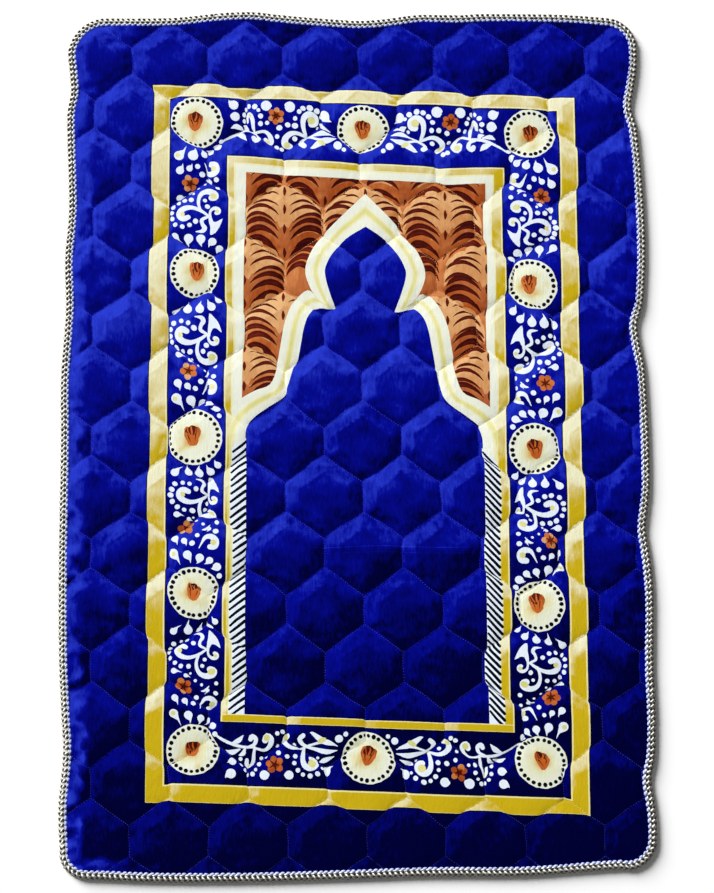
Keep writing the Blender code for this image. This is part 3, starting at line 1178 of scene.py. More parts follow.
@dataclass
class PrintLay:
    """How the flat print lies on the sewn rug: a little skew and gathered at each seam."""

    surface: QuiltSurface
    half_width: float
    half_length: float
    # corners of the print on the rug, in millimetres
    bottom_left: tuple[float, float] = (-277.5, -491.8)
    bottom_right: tuple[float, float] = (311.1, -511.9)
    top_right: tuple[float, float] = (303.1, 470.6)
    top_left: tuple[float, float] = (-279.5, 492.7)
    # how far the print is drawn in at a seam, and how near to the seam that fades
    gather: float = 0.0026
    fade: float = 0.0032
    stray: float = 0.0007
    # places are rounded to this, and no run between two points is longer than that
    grain: float = 0.0002
    longest: float = 0.0036

    def onto_rug(self, outline: Array) -> Array:
        """Lay an outline of the print on the rug: skew, then gathered in at each seam.

        Args:
            outline: rows of x, y in millimetres of the print.

        Returns:
            The outline on the rug, in metres, with points close enough to follow the gathers.
        """
        ends = np.roll(outline, -1, axis=0)
        runs = []
        for start, end in zip(outline, ends):
            parts = max(1, math.ceil(np.linalg.norm(end - start) * MM / self.longest))
            shares = np.arange(parts)[:, None] / parts
            runs.append(start + (end - start) * shares)
        flat = np.vstack(runs)
        right = (flat[:, :1] / self.half_width + 1) / 2
        up = (flat[:, 1:] / self.half_length + 1) / 2
        low = np.array(self.bottom_left) * (1 - right) + np.array(self.bottom_right) * right
        high = np.array(self.top_left) * (1 - right) + np.array(self.top_right) * right
        laid = (low * (1 - up) + high * up) * MM
        place = self.surface.quilt.locate(laid[:, 0], laid[:, 1])
        away = np.column_stack([place.x, place.y])
        reach = np.linalg.norm(away, axis=1)[:, None] + 1e-6
        rise = (1 - np.exp(-(place.seam / self.fade) ** 2))[:, None]
        outer = np.clip(reach / 0.045, 0, 1) ** 0.8
        stray = self.surface.habit(place)[:, 3:5] * self.stray
        laid = laid + rise * (self.gather * outer * away / reach + stray)
        return np.round(laid / self.grain) * self.grain


@dataclass(frozen=True)
class Fold:
    """A faint fold across the field, only painted light and shade: its ends, height on the rug,
    strength.
    """

    left: float
    right: float
    height: float
    strength: float


FOLDS = (Fold(-0.075, 0.170, -0.1540, 0.26), Fold(-0.045, 0.165, -0.1620, 0.16))


@dataclass(frozen=True)
class PaintedLight:
    """How strongly each feature of the sewn rug is painted lighter or darker, as painted light and
    shade.
    """

    # height on the rug, how bright the painted light makes the pile there
    lightness: tuple = ((-0.60, -0.05), (-0.52, -0.02), (-0.30, 0.16), (-0.10, 0.38), (0.04, 0.46),
                  (0.22, 0.50), (0.40, 0.49), (0.60, 0.34))
    # loss of painted brightness for each metre to the right, away from the light
    across: float = 0.1375
    # share of each painted feature that still shows where the painted light is dark, and its
    # growth
    least: float = 0.36
    growth: float = 0.66
    # strengths of painted shade and highlights (slope towards the light, crown, lit flanks, crease
    # ridge, seam, fan wrinkles) and of the random tone per pad and the mottling
    slope: float = 1.8
    steepest: tuple[float, float] = (-0.17, 0.16)
    habit: float = 0.06
    crown: float = 0.06
    flank: float = 0.33
    ridge: float = 0.20
    seam: float = 0.30
    fan: float = 0.16
    mottle: float = 0.10
    mottling: tuple = (Ripple(0.022, 31, 0.5), Ripple(0.080, 32))
    # the painted highlight strip along the left side, the side towards the light
    brushed: float = 0.72
    painted_strip_reach: float = 0.030
    ragged: Ripple = Ripple(0.030, 33)
    streaks: Ripple = Ripple(0.020, 34, 0.6)
    gleam: Ripple = Ripple(0.060, 35)
    bleeding: Ripple = Ripple(0.022, 41)

    def beside(self, fold: Fold, x: Array, y: Array) -> Array:
        """Return the painted shade that a fold puts below it and the painted highlight above it.

        Args:
            fold: the fold.
            x: places in metres.
            y: places in metres.

        Returns:
            One change for each place.
        """
        along = np.clip((x - fold.left) / 0.02, 0, 1) * np.clip((fold.right - x) / 0.02, 0, 1)
        over = y - fold.height
        return along * np.where(over < 0, -0.07 * np.exp(np.minimum(over, 0) / 0.024),
                                0.05 * np.exp(-np.maximum(over, 0) / 0.020))


@dataclass
class PlushPad:
    """The filled pad: printed plush face, thin rim and plain backing, as one closed mesh."""

    surface: QuiltSurface
    patches: list[Patch]
    rings: tuple = (0.0, 0.0014, 0.0035, 0.0065, 0.0100, 0.0140, 0.0175, 0.0205, 0.0250,
                    0.0310, 0.0385, 0.0470)
    creases: tuple = (0.0, 0.0035, 0.0205)
    spacing: float = 0.0082
    # points closer than this are one, and none of the quilting lies nearer a printed line
    merge: float = 0.0002
    clear: float = 0.0017
    # how near to the rim points of the quilting come, on the face and on the back
    rim_clear: float = 0.0024
    back_clear: float = 0.008
    # how far beside a printed line its two colours are looked up
    aside: float = 0.00012
    painted_light: PaintedLight = PaintedLight()
    # share of the real slope that the soft pile shows to the light
    softness: float = 0.17
    # height of the backing where the binding wraps under it, and of the edge above it
    wrapped: float = 0.0012
    edge_low: float = 0.0022
    chamfer: float = 0.0015
    back_rings: tuple[float, ...] = (0.0, 0.003, 0.012)
    back_spacing: float = 0.016
    # rows of points just inside and just outside the edge of the binding below
    lap_rows: tuple[float, ...] = (0.0095, 0.0158)
    # how far the stitching draws the back up, and how wide that is
    drawn_up: float = 0.0008
    drawn_width: float = 0.004

    def lattice(self) -> tuple[list[Array], list[tuple[int, int]]]:
        """Return the points of the quilting and the lines that edges keep to.

        Returns:
            The points, and pairs of their indices.
        """
        points: list[Array] = []
        lines = []
        for row, column in self.surface.quilt.pads():
            for margin in self.rings:
                ring = around(self.surface.quilt.corners(row, column, margin), self.spacing)
                first = len(points)
                points.extend(self.surface.quilt.strayed(np.array(ring)))
                if margin in self.creases:
                    count = len(ring)
                    lines.extend((first + k, first + (k + 1) % count) for k in range(count))
            middle = self.surface.quilt.center(row, column)
            points.extend(self.surface.quilt.strayed(middle[None, :]))
        return points, lines

    def seen_lines(self) -> list[tuple[Array, Array]]:
        """Return the pieces of the printed outlines that part two colours.

        Returns:
            Pairs of start and end.
        """
        starts = np.vstack([patch.outline for patch in self.patches])
        ends = np.vstack([np.roll(patch.outline, -1, axis=0) for patch in self.patches])
        run = ends - starts
        length = np.linalg.norm(run, axis=1)
        keep = length > 1e-6
        starts, ends, run, length = starts[keep], ends[keep], run[keep], length[keep]
        beside = np.column_stack([-run[:, 1], run[:, 0]]) / length[:, None] * self.aside
        seen = np.zeros(len(starts), bool)
        for share in (0.12, 0.5, 0.88):
            middle = starts + run * share
            both = covering(np.vstack([middle + beside, middle - beside]), self.patches)
            seen |= both[:len(starts)] != both[len(starts):]
        return list(zip(starts[seen], ends[seen]))

    def plan(self) -> tuple[Array, list]:
        """Return the plan of the plush face.

        Returns:
            The points as rows of x, y, and the triangles as triples of indices.
        """
        rim = self.surface.rim
        points: list[Vector] = []
        known: dict[tuple[int, int], int] = {}
        lines: set[tuple[int, int]] = set()
        crowded: set[tuple[int, int]] = set()

        def index_of(place: Sequence[float]) -> int:
            """Find a point, or add it if it is new.

            Args:
                place: its x and y.

            Returns:
                Its index.
            """
            key = (round(place[0] / self.merge), round(place[1] / self.merge))
            if key not in known:
                known[key] = len(points)
                points.append(Vector((float(place[0]), float(place[1]))))
            return known[key]

        def join(start: int, end: int) -> None:
            """Keep a line between two points."""
            if start != end:
                lines.add((min(start, end), max(start, end)))

        border = [index_of(place) for place in rim]
        for i, here in enumerate(border):
            join(border[i - 1], here)
        cell = self.clear
        for start, end in self.seen_lines():
            join(index_of(start), index_of(end))
            crowded.add((round(start[0] / cell), round(start[1] / cell)))
        LOG.info("print: %d points", len(points))
        places, pairs = self.lattice()
        spots = np.array(places)
        inside = within(spots, rim)
        inside &= self.surface.to_rim(spots[:, 0], spots[:, 1]) > self.rim_clear
        kept = {index for pair in pairs for index in pair}
        for index, place in enumerate(places):
            free = (round(place[0] / cell), round(place[1] / cell)) not in crowded
            if inside[index] and (free or index in kept):
                index_of(place)
        for start, end in pairs:
            if inside[start] and inside[end]:
                join(index_of(places[start]), index_of(places[end]))
        LOG.info("plan: %d points, %d lines", len(points), len(lines))
        found, _, triangles, _, _, _ = geometry.delaunay_2d_cdt(
            points, sorted(lines), [], 0, 1e-7)
        plan = np.array([(place.x, place.y) for place in found])
        corners = np.array(triangles)
        return plan, corners[within(plan[corners].mean(axis=1), rim)]

    def shade(self, x: Array, y: Array, slope: Array, rim: Array) -> Array:
        """Return the painted light and shade of the pile: 0 dark to 1 bright.

        Args:
            x: places in metres.
            y: places in metres.
            slope: rise across and along.
            rim: their distance from the rim.

        Returns:
            One value for each place.
        """
        painted_light, surface = self.painted_light, self.surface
        place = surface.quilt.locate(x, y)
        seam, tilt = place.seam, surface.flank(place)
        facing = slope @ np.array([-TO_LIGHT[0], -TO_LIGHT[1]])
        # painted light: brighter over the upper part of the rug, darker towards the bottom and to
        # the right; the painted features below show more where it is bright
        heights, levels = zip(*painted_light.lightness)
        value = np.interp(y, heights, levels) - painted_light.across * x
        lively = painted_light.least + painted_light.growth * value
        # painted shade and highlight from the slope of each pad towards the light, and one pad a
        # little unlike the next
        value += lively * (painted_light.slope * np.clip(facing, *painted_light.steepest) - 0.03
                           + painted_light.habit * surface.habit(place)[:, 0])
        # painted shade over the middle of each pad's crown
        value -= painted_light.crown * np.clip((seam - 0.021) / 0.008, 0, 1) - 0.02
        # painted highlights on the flanks that face the light, from the seam to the crease on the
        # crown, on the crease itself and along the seam
        band = np.clip(seam / 0.002, 0, 1) * np.clip((0.0205 - seam) / 0.003, 0, 1)
        value += lively * painted_light.flank * band * np.clip(tilt, -0.35, 0.9)
        ridge = np.exp(-((seam - 0.0200) / 0.0016) ** 2)
        value += lively * painted_light.ridge * ridge * np.clip(5.0 * facing - 0.2, 0, 1)
        value += lively * painted_light.seam * np.exp(-(seam / 0.0016) ** 2) * surface.upper_left(place)
        # painted light and shade on the wrinkles that spread from each pad's upper tip
        value += lively * painted_light.fan * surface.fan(place)
        for ripple in painted_light.mottling:
            value += lively * painted_light.mottle * ripple.at(x, y)
        # painted shade below each fold and painted highlight above it
        for fold in FOLDS:
            value += painted_light.beside(fold, x, y)
        # a painted highlight along the left side, the side towards the light
        reach = painted_light.painted_strip_reach + 0.005 * painted_light.ragged.at(x, y) - rim
        brushed = np.clip(reach / 0.006, 0, 1) * np.clip((-x - 0.30) / 0.04, 0, 1)
        brushed *= 0.85 + 0.55 * painted_light.streaks.at(x, y)
        value += painted_light.brushed * brushed * np.clip(1.0 - value, 0, 1)
        return value

    def flanks(self, x: Array, y: Array) -> Array:
        """Find where the flanks of the lower pads catch the light on the gold bands.

        Args:
            x: places in metres.
            y: places in metres.

        Returns:
            0 off them to about 1 on them.
        """
        place = self.surface.quilt.locate(x, y)
        band = np.clip((0.0170 - place.seam) / 0.004, 0, 1)
        low = np.clip((0.10 - y) / 0.30, 0, 1)
        uneven = 0.8 + 0.5 * self.painted_light.gleam.at(x, y)
        return band * low * uneven * np.clip(1.5 * self.surface.flank(place), 0, 1)

    def halo(self, x: Array, y: Array) -> Array:
        """Find how far the soft yellow round the buds spreads over each place.

        Args:
            x: places in metres.
            y: places in metres.

        Returns:
            0 outside the medallions to about 1 at their middles.
        """
        found = np.zeros_like(x)
        ragged = 1 + 0.30 * self.painted_light.bleeding.at(x, y)
        for patch in self.patches:
            if patch.dye is Dye.BUTTER:
                middle = patch.outline.mean(axis=0)
                away = np.hypot(x - middle[0], y - middle[1])
                inner = np.clip((0.030 - away) / 0.004, 0, 1)
                glow = 0.04 + 1.02 * np.exp(-(away * ragged / 0.0150) ** 2)
                found = np.maximum(found, inner * glow)
        return found

    def underside(self, bm: BMesh, ring: Sequence[Vector]) -> None:
        """Close the pad with its backing, drawn up a little at the seams.

        Args:
            bm: the mesh, which already has the outermost ring.
            ring: the outline of the backing.
        """
        outline = np.array([(place.x, place.y) for place in ring])
        quilt = self.surface.quilt
        points = [Vector(place) for place in outline]
        count = len(points)
        lines = [(i, (i + 1) % count) for i in range(count)]
        known = {(round(p.x, 4), round(p.y, 4)) for p in points}
        spots = []
        for distance in self.lap_rows:
            spots.extend(inset(outline, distance - self.chamfer)[::2])
        for row, column in quilt.pads():
            for margin in self.back_rings:
                spots.extend(around(quilt.corners(row, column, margin), self.back_spacing))
        places = np.array(sorted((p[1], p[0]) for p in spots))[:, ::-1]
        inside = within(places, outline)
        inside &= self.surface.to_rim(places[:, 0], places[:, 1]) > self.back_clear
        for place in places[inside]:
            key = (round(place[0], 4), round(place[1], 4))
            if key not in known:
                known.add(key)
                points.append(Vector(place))
        found, _, triangles, _, _, _ = geometry.delaunay_2d_cdt(
            points, lines, [list(range(count))], 1, 1e-7)
        flat = np.array([(p.x, p.y) for p in found])
        seam = quilt.locate(flat[:, 0], flat[:, 1]).seam
        rim = self.surface.to_rim(flat[:, 0], flat[:, 1])
        rise = self.drawn_up * np.exp(-(seam / self.drawn_width) ** 2)
        rise *= np.clip((rim - 0.016) / 0.02, 0, 1)
        rise += self.wrapped * np.clip((0.0155 - rim) / 0.004, 0, 1)
        backing = [bm.verts.new((p[0], p[1], z)) for p, z in zip(flat, rise)]
        for corners in triangles:
            face = bm.faces.new([backing[i] for i in reversed(corners)])
            face.material_index = len(Dye)

    def mesh(self) -> Mesh:
        """Build the closed pad.

        Returns:
            Its mesh, with its colours, painted light and shade, normals and UV map.
        """
        plan, triangles = self.plan()
        surface = self.surface
        rim = surface.to_rim(plan[:, 0], plan[:, 1])
        height = surface.height(plan[:, 0], plan[:, 1], rim)
        slope = surface.slope(plan[:, 0], plan[:, 1], rim)
        middle = plan[triangles].mean(axis=1)
        dyes = covering(middle, self.patches)
        LOG.info("face: %d points, %d triangles", len(plan), len(triangles))
        bm = bmesh.new()
        used = np.unique(triangles)
        verts = {int(i): bm.verts.new((plan[i, 0], plan[i, 1], height[i])) for i in used}
        for corners, dye in zip(triangles.tolist(), dyes.tolist()):
            face = bm.faces.new([verts[i] for i in corners])
            face.material_index = dye
        top = len(bm.verts)
        edge = [e for e in bm.edges if e.is_boundary]
        for z, inward in ((self.edge_low, 0.0), (self.wrapped, self.chamfer)):
            grown = bmesh.ops.extrude_edge_only(bm, edges=edge)["geom"]
            edge = [e for e in grown if isinstance(e, bmesh.types.BMEdge) and e.is_boundary]
            ring = {v for e in edge for v in e.verts}
            shrink = 1 - inward / 0.5
            for vert in ring:
                vert.co = (vert.co.x * shrink, vert.co.y * shrink, z)
        wall = len(bm.faces)
        start = edge[0].verts[0]
        loop, here, came = [start.co.xy.copy()], edge[0].other_vert(start), edge[0]
        while here is not start:
            loop.append(here.co.xy.copy())
            came = next(e for e in here.link_edges if e.is_boundary and e is not came)
            here = came.other_vert(here)
        self.underside(bm, loop)
        low = [v for v in bm.verts if v.co.z < self.wrapped + 1e-6]
        bmesh.ops.remove_doubles(bm, verts=low, dist=1e-6)
        bmesh.ops.recalc_face_normals(bm, faces=bm.faces)
        return self.dressed(bm, top, len(triangles), wall, slope[used])

    def dressed(self, bm: BMesh, top: int, faces: int, wall: int, slope: Array) -> Mesh:
        """Write the mesh with its UV map, attributes and normals.

        Args:
            bm: the closed pad.
            top: how many vertices the plush face has.
            faces: how many triangles the plush face has.
            wall: how many faces the plush face and the rim have.
            slope: rise across and along at each vertex of the plush face.

        Returns:
            The mesh.
        """
        bm.verts.index_update()
        bm.faces.index_update()
        layer = bm.loops.layers.uv.new("OFBake")
        # the face lies on the left of the sheet, the backing and the wall on its right
        for face in bm.faces:
            for loop in face.loops:
                x, y, z = loop.vert.co
                right, up = x + 0.405, y + 0.605
                if face.index < faces:
                    loop[layer].uv = (right / 1.24, up / 1.24)
                elif face.index >= wall:
                    loop[layer].uv = (0.675 + right / 2.56, up / 2.56)
                else:
                    turn = math.atan2(y, x) / (2 * math.pi) + 0.5
                    loop[layer].uv = (0.68 + 0.30 * turn, 0.60 + z * 14)
        mesh = written(bm, "quilted_pad")
        count = len(mesh.vertices)
        place = np.zeros(count * 3)
        mesh.vertices.foreach_get("co", place)
        x, y = place.reshape(-1, 3)[:top, :2].T
        rim = self.surface.to_rim(x, y)
        for name, values in (("painted_light", self.shade(x, y, slope, rim)), ("halo", self.halo(x, y)),
                             ("flank", self.flanks(x, y))):
            attribute = mesh.attributes.new(name, "FLOAT", "POINT")
            whole = np.full(count, 0.4 if name == "painted_light" else 0.0)
            whole[:top] = values
            attribute.data.foreach_set("value", whole)
        normals = np.zeros((count, 3))
        normals[:top] = np.column_stack([-slope * self.softness, np.ones(top)])
        normals[:top] /= np.linalg.norm(normals[:top], axis=1)[:, None]
        for polygon in mesh.polygons:
            polygon.use_smooth = polygon.index < faces or polygon.index >= wall
        mesh.normals_split_custom_set_from_vertices(normals)
        return mesh


# ---- finishes
class Nodes:
    """Adds and links nodes of a tree."""

    def __init__(self, tree: bpy.types.NodeTree) -> None:
        """Keep the tree."""
        self.tree = tree

    def add(self, kind: str, inputs: dict | None = None, **settings: object) -> Node:
        """Add a node.

        Args:
            kind: its type in Blender.
            inputs: values or sockets for its inputs, by name or number.
            settings: values of its own properties.

        Returns:
            The node.
        """
        node = self.tree.nodes.new(kind)
        for name, value in settings.items():
            setattr(node, name, value)
        for name, value in (inputs or {}).items():
            if isinstance(value, Socket):
                self.tree.links.new(value, node.inputs[name])
            else:
                node.inputs[name].default_value = value
        return node

    def math(self, operation: str, first: object, second: object = 0.0) -> Socket:
        """Return the result of an operation on one or two values or sockets."""
        return self.add("ShaderNodeMath", {0: first, 1: second}, operation=operation).outputs[0]

    def plus(self, first: object, second: object) -> Socket:
        """Return the sum of two values or sockets."""
        return self.math("ADD", first, second)

    def minus(self, first: object, second: object) -> Socket:
        """Return the first value or socket less the second."""
        return self.math("SUBTRACT", first, second)

    def times(self, first: object, second: object) -> Socket:
        """Return the product of two values or sockets."""
        return self.math("MULTIPLY", first, second)

    def clamped(self, value: object) -> Socket:
        """Return a value or socket, kept between 0 and 1."""
        return self.add("ShaderNodeClamp", {0: value}).outputs[0]

    def carried(self, name: str) -> Socket:
        """Return the value that the mesh carries at each point under a name."""
        return self.add("ShaderNodeAttribute", attribute_name=name).outputs["Fac"]

    def place(self) -> Socket:
        """Return the place on the piece, in metres."""
        return self.add("ShaderNodeTexCoord").outputs["Object"]

    def mix(self, share: object, first: object, second: object) -> Socket:
        """Return a mix of two colours."""
        node = self.add("ShaderNodeMix", {0: share, 6: first, 7: second}, data_type="RGBA")
        return node.outputs[2]

    def noise(self, place: object, scale: float, detail: float = 2.0) -> Socket:
        """Return a noise between 0 and 1."""
        node = self.add("ShaderNodeTexNoise", {"Vector": place, "Scale": scale, "Detail": detail})
        return node.outputs["Fac"]


def rgba(color: Sequence[float]) -> tuple[float, float, float, float]:
    """Turn a colour as it looks on a screen into a linear one.

    Args:
        color: red, green and blue, 0 to 255.

    Returns:
        Linear red, green and blue, and full cover.
    """
    shares = [part / 255 for part in color]
    linear = [s / 12.92 if s < 0.04045 else ((s + 0.055) / 1.055) ** 2.4 for s in shares]
    return (linear[0], linear[1], linear[2], 1.0)


def new_material(name: str) -> tuple[Material, Nodes, Node]:
    """Return a new material, its nodes and its shader.

    Args:
        name: of the material.

    Returns:
        The material, its nodes and its Principled BSDF.
    """
    material = bpy.data.materials.new(name)
    material.use_nodes = True
    return material, Nodes(material.node_tree), material.node_tree.nodes["Principled BSDF"]


def dress(nodes: Nodes, shader: Node, sockets: dict, values: dict) -> None:
    """Link sockets to a shader and set its constant values.

    Args:
        nodes: the material's nodes.
        shader: the material's shader.
        sockets: what feeds its inputs, by name.
        values: constants of its inputs, by name.
    """
    for name, socket in sockets.items():
        nodes.tree.links.new(socket, shader.inputs[name])
    for name, value in values.items():
        shader.inputs[name].default_value = value


@dataclass(frozen=True)
class PileEffect:
    """Short pile coloured by the painted light and shade it carries, with mottling, painted crease
    and fold highlights, and fibres.

    Scales are in waves for each metre, strengths in shares of the pile's whole swing
    between dark and bright.
    """

    brush_stretch: float = 0.30
    brush_turn: float = 0.5
    cloud_scale: float = 90.0
    cloud_strength: float = 0.40
    stroke_scale: float = 330.0
    stroke_strength: float = 0.85
    fibre_scale: float = 1500.0
    fibre_strength: float = 0.70
    # painted highlight lines along thin creases, where a slow noise crosses its middle
    crease_scale: float = 11.0
    crease_thin: float = 110.0
    crease_strength: float = 0.05
    # the painted fold lines sway a little; how thin they are and how fast their ends fade
    sway_scale: float = 40.0
    sway: float = 0.0012
    fold_thin: float = 900.0
    fold_fade: float = 30.0
    rough: float = 0.98
    rough_gain: float = -0.06

    def fold(self, nodes: Nodes, axes: Sequence[Socket], sway: Socket, fold: Fold) -> Socket:
        """Draw one faint fold as a painted highlight line.

        Args:
            nodes: the group's nodes.
            axes: the place's x and y.
            sway: how far the fold strays from a straight line.
            fold: its ends, height and strength.

        Returns:
            Its strength at each place, 0 off the fold.
        """
        away = nodes.minus(nodes.minus(axes[1], sway), fold.height)
        line = nodes.times(nodes.math("ABSOLUTE", away), self.fold_thin)
        line = nodes.times(nodes.minus(1.0, line), fold.strength)
        for ramp in (nodes.minus(axes[0], fold.left), nodes.minus(fold.right, axes[0])):
            line = nodes.times(line, nodes.clamped(nodes.times(ramp, self.fold_fade)))
        return nodes.math("MAXIMUM", line, 0.0)

    def group(self) -> bpy.types.NodeTree:
        """Build the group that every dye of the plush uses.

        Returns:
            The group. Its colour runs from Deep by Body to Bright.
        """
        group = bpy.data.node_groups.new("plush_pile", "ShaderNodeTree")
        for way, kind, names in (("INPUT", "Color", ("Deep", "Body", "Bright")),
                                 ("INPUT", "Float", ("Mottle", "Contrast", "Pivot", "Flank")),
                                 ("OUTPUT", "Color", ("Color",)),
                                 ("OUTPUT", "Float", ("Height", "Roughness"))):
            for name in names:
                group.interface.new_socket(name, in_out=way, socket_type="NodeSocket" + kind)
        nodes = Nodes(group)
        given = nodes.add("NodeGroupInput").outputs
        place = nodes.place()
        brushed = nodes.add("ShaderNodeMapping",
                            {"Vector": place, "Scale": (1.0, self.brush_stretch, 1.0),
                             "Rotation": (0.0, 0.0, self.brush_turn)}).outputs[0]
        # the painted light and shade that the pad carries, with the painted highlight on the lit
        # flanks
        painted_light = nodes.carried("painted_light")
        painted_light = nodes.plus(painted_light, nodes.times(nodes.carried("flank"), given["Flank"]))
        clouds = nodes.minus(nodes.noise(place, self.cloud_scale, 4.0), 0.5)
        strokes = nodes.minus(nodes.noise(brushed, self.stroke_scale, 3.0), 0.5)
        fibres = nodes.noise(place, self.fibre_scale, 2.0)
        uneven = nodes.plus(nodes.times(clouds, self.cloud_strength),
                            nodes.times(strokes, self.stroke_strength))
        grain = nodes.times(nodes.minus(fibres, 0.5), self.fibre_strength)
        uneven = nodes.times(nodes.plus(uneven, grain), given["Mottle"])
        # painted highlight lines along thin creases
        wander = nodes.minus(nodes.noise(place, self.crease_scale, 1.0), 0.5)
        wander = nodes.math("ABSOLUTE", wander)
        crease = nodes.minus(1.0, nodes.times(wander, self.crease_thin))
        crease = nodes.math("MAXIMUM", crease, 0.0)
        uneven = nodes.plus(uneven, nodes.times(crease, self.crease_strength))
        axes = nodes.add("ShaderNodeSeparateXYZ", {0: place}).outputs
        sway = nodes.times(nodes.math("SINE", nodes.times(axes[0], self.sway_scale)), self.sway)
        # painted highlight lines along the folds
        for fold in FOLDS:
            uneven = nodes.plus(uneven, self.fold(nodes, axes, sway, fold))
        lightness = nodes.times(nodes.minus(nodes.plus(painted_light, uneven), given["Pivot"]), given["Contrast"])
        lightness = nodes.clamped(nodes.plus(lightness, given["Pivot"]))
        twice = nodes.times(lightness, 2.0)
        low = nodes.clamped(twice)
        high = nodes.clamped(nodes.minus(twice, 1.0))
        color = nodes.mix(low, given["Deep"], given["Body"])
        color = nodes.mix(high, color, given["Bright"])
        height = nodes.plus(nodes.times(fibres, 0.4), strokes)
        rough = nodes.math("MULTIPLY_ADD", lightness, self.rough_gain)
        rough.node.inputs[2].default_value = self.rough
        nodes.add("NodeGroupOutput", {"Color": color, "Height": height, "Roughness": rough})
        return group


@dataclass(frozen=True)
class PlushFinish:
    """One dye of the plush: its colour where it is painted in shade and where it is painted lit.
    """

    dye: Dye
    deep: tuple[int, int, int]
    bright: tuple[int, int, int]
    mottle: float = 0.6
    gloss: float = 0.08
    gloss_tint: tuple[int, int, int] = (255, 255, 255)
    # a soft second colour round the buds
    halo: tuple[int, int, int] | None = None
    # how strongly the painted light and shade show, and the lightness at which they change nothing
    contrast: float = 1.0
    pivot: float = 0.4
    # the colour halfway, where it isn't the mean, and how strongly the painted highlight on the
    # lit flanks shows
    body: tuple[int, int, int] | None = None
    flank: float = 0.0

    def material(self, pile: bpy.types.NodeTree) -> Material:
        """Build the material of this dye.

        Args:
            pile: the group that all dyes share.

        Returns:
            The material.
        """
        material, nodes, shader = new_material(self.dye.value)
        deep, bright = rgba(self.deep), rgba(self.bright)
        halfway = [(low + high) / 2 for low, high in zip(deep, bright)]
        group = nodes.add("ShaderNodeGroup", node_tree=pile)
        for name, value in (("Deep", deep), ("Bright", bright),
                            ("Body", rgba(self.body) if self.body else halfway),
                            ("Mottle", self.mottle), ("Contrast", self.contrast),
                            ("Pivot", self.pivot), ("Flank", self.flank)):
            group.inputs[name].default_value = value
        color = group.outputs["Color"]
        if self.halo:
            spread = nodes.carried("halo")
            tone = nodes.mix(spread, rgba(HALO_RIM), rgba(self.halo))
            color = nodes.mix(spread, color, tone)
        bump = nodes.add("ShaderNodeBump", {"Height": group.outputs["Height"],
                                            "Strength": 0.35, "Distance": 0.0008})
        dress(nodes, shader,
              {"Base Color": color, "Roughness": group.outputs["Roughness"],
               "Normal": bump.outputs[0]},
              {"Specular IOR Level": self.gloss, "Specular Tint": rgba(self.gloss_tint)})
        return material


# the outer tone of the soft halos
HALO_RIM = (216, 220, 124)
# in the order of the dyes: the pad's face indices follow it
PLUSHES = [
    PlushFinish(Dye.BLUE, (0, 0, 48), (38, 56, 198), 0.55, gloss=0.06,
                gloss_tint=(110, 130, 255), body=(4, 9, 142)),
    PlushFinish(Dye.NAVY, (0, 0, 10), (4, 8, 34), 0.3, gloss=0.1),
    PlushFinish(Dye.GOLD, (196, 168, 18), (228, 225, 190), 0.30, contrast=1.8, pivot=0.43,
                flank=0.29),
    PlushFinish(Dye.CREAM, (226, 216, 150), (240, 236, 204), 0.4),
    PlushFinish(Dye.WHITE, (222, 226, 210), (238, 240, 222), 0.4, halo=(206, 164, 74)),
    PlushFinish(Dye.BUTTER, (222, 226, 210), (238, 240, 222), 0.6, halo=(204, 150, 60)),
    PlushFinish(Dye.CLAY, (150, 64, 20), (206, 130, 76), 0.7),
    PlushFinish(Dye.SAND, (186, 112, 54), (228, 180, 126), 0.7),
    PlushFinish(Dye.BROWN, (46, 0, 0), (92, 22, 12), 0.5),
    PlushFinish(Dye.ORANGE, (178, 84, 28), (214, 124, 60), 0.6),
    PlushFinish(Dye.MAROON, (62, 6, 2), (108, 32, 18), 0.5),
    PlushFinish(Dye.OLIVE, (208, 204, 126), (232, 230, 172), 0.5),
    PlushFinish(Dye.COPPER, (150, 62, 18), (204, 118, 58), 0.7),
    PlushFinish(Dye.ICE, (221, 231, 242), (233, 240, 251), 0.4),
]


@dataclass(frozen=True)
class Backing:
    """The plain woven back of the pad."""

    dark: tuple[int, int, int] = (16, 20, 84)
    light: tuple[int, int, int] = (44, 52, 140)
    # where the quilting draws the cloth up
    sewn: tuple[int, int, int] = (8, 10, 48)
    sewn_gain: float = 1100.0
    rib_scale: float = 143.3121
    weave: float = 0.6
    cloud_scale: float = 60.0

    def material(self) -> Material:
        """Build the material: two crossing ribs of thread with a faint mottling.

        Returns:
            The material.
        """
        material, nodes, shader = new_material("woven_backing")
        place = nodes.place()
        ribs = [nodes.add("ShaderNodeTexWave", {"Vector": place, "Scale": self.rib_scale,
                                                "Distortion": 0.4, "Detail": 1.0},
                          bands_direction=axis).outputs["Fac"] for axis in ("X", "Y")]
        weave = nodes.times(ribs[0], ribs[1])
        clouds = nodes.noise(place, self.cloud_scale, 3.0)
        share = nodes.plus(nodes.times(weave, self.weave), nodes.times(clouds, 1 - self.weave))
        color = nodes.mix(share, rgba(self.dark), rgba(self.light))
        high = nodes.add("ShaderNodeSeparateXYZ", {0: place}).outputs[2]
        drawn = nodes.clamped(nodes.times(high, self.sewn_gain))
        color = nodes.mix(drawn, color, rgba(self.sewn))
        bump = nodes.add("ShaderNodeBump", {"Height": weave, "Strength": 0.4,
                                            "Distance": 0.0004})
        dress(nodes, shader, {"Base Color": color, "Normal": bump.outputs[0]},
              {"Roughness": 0.8})
        return material


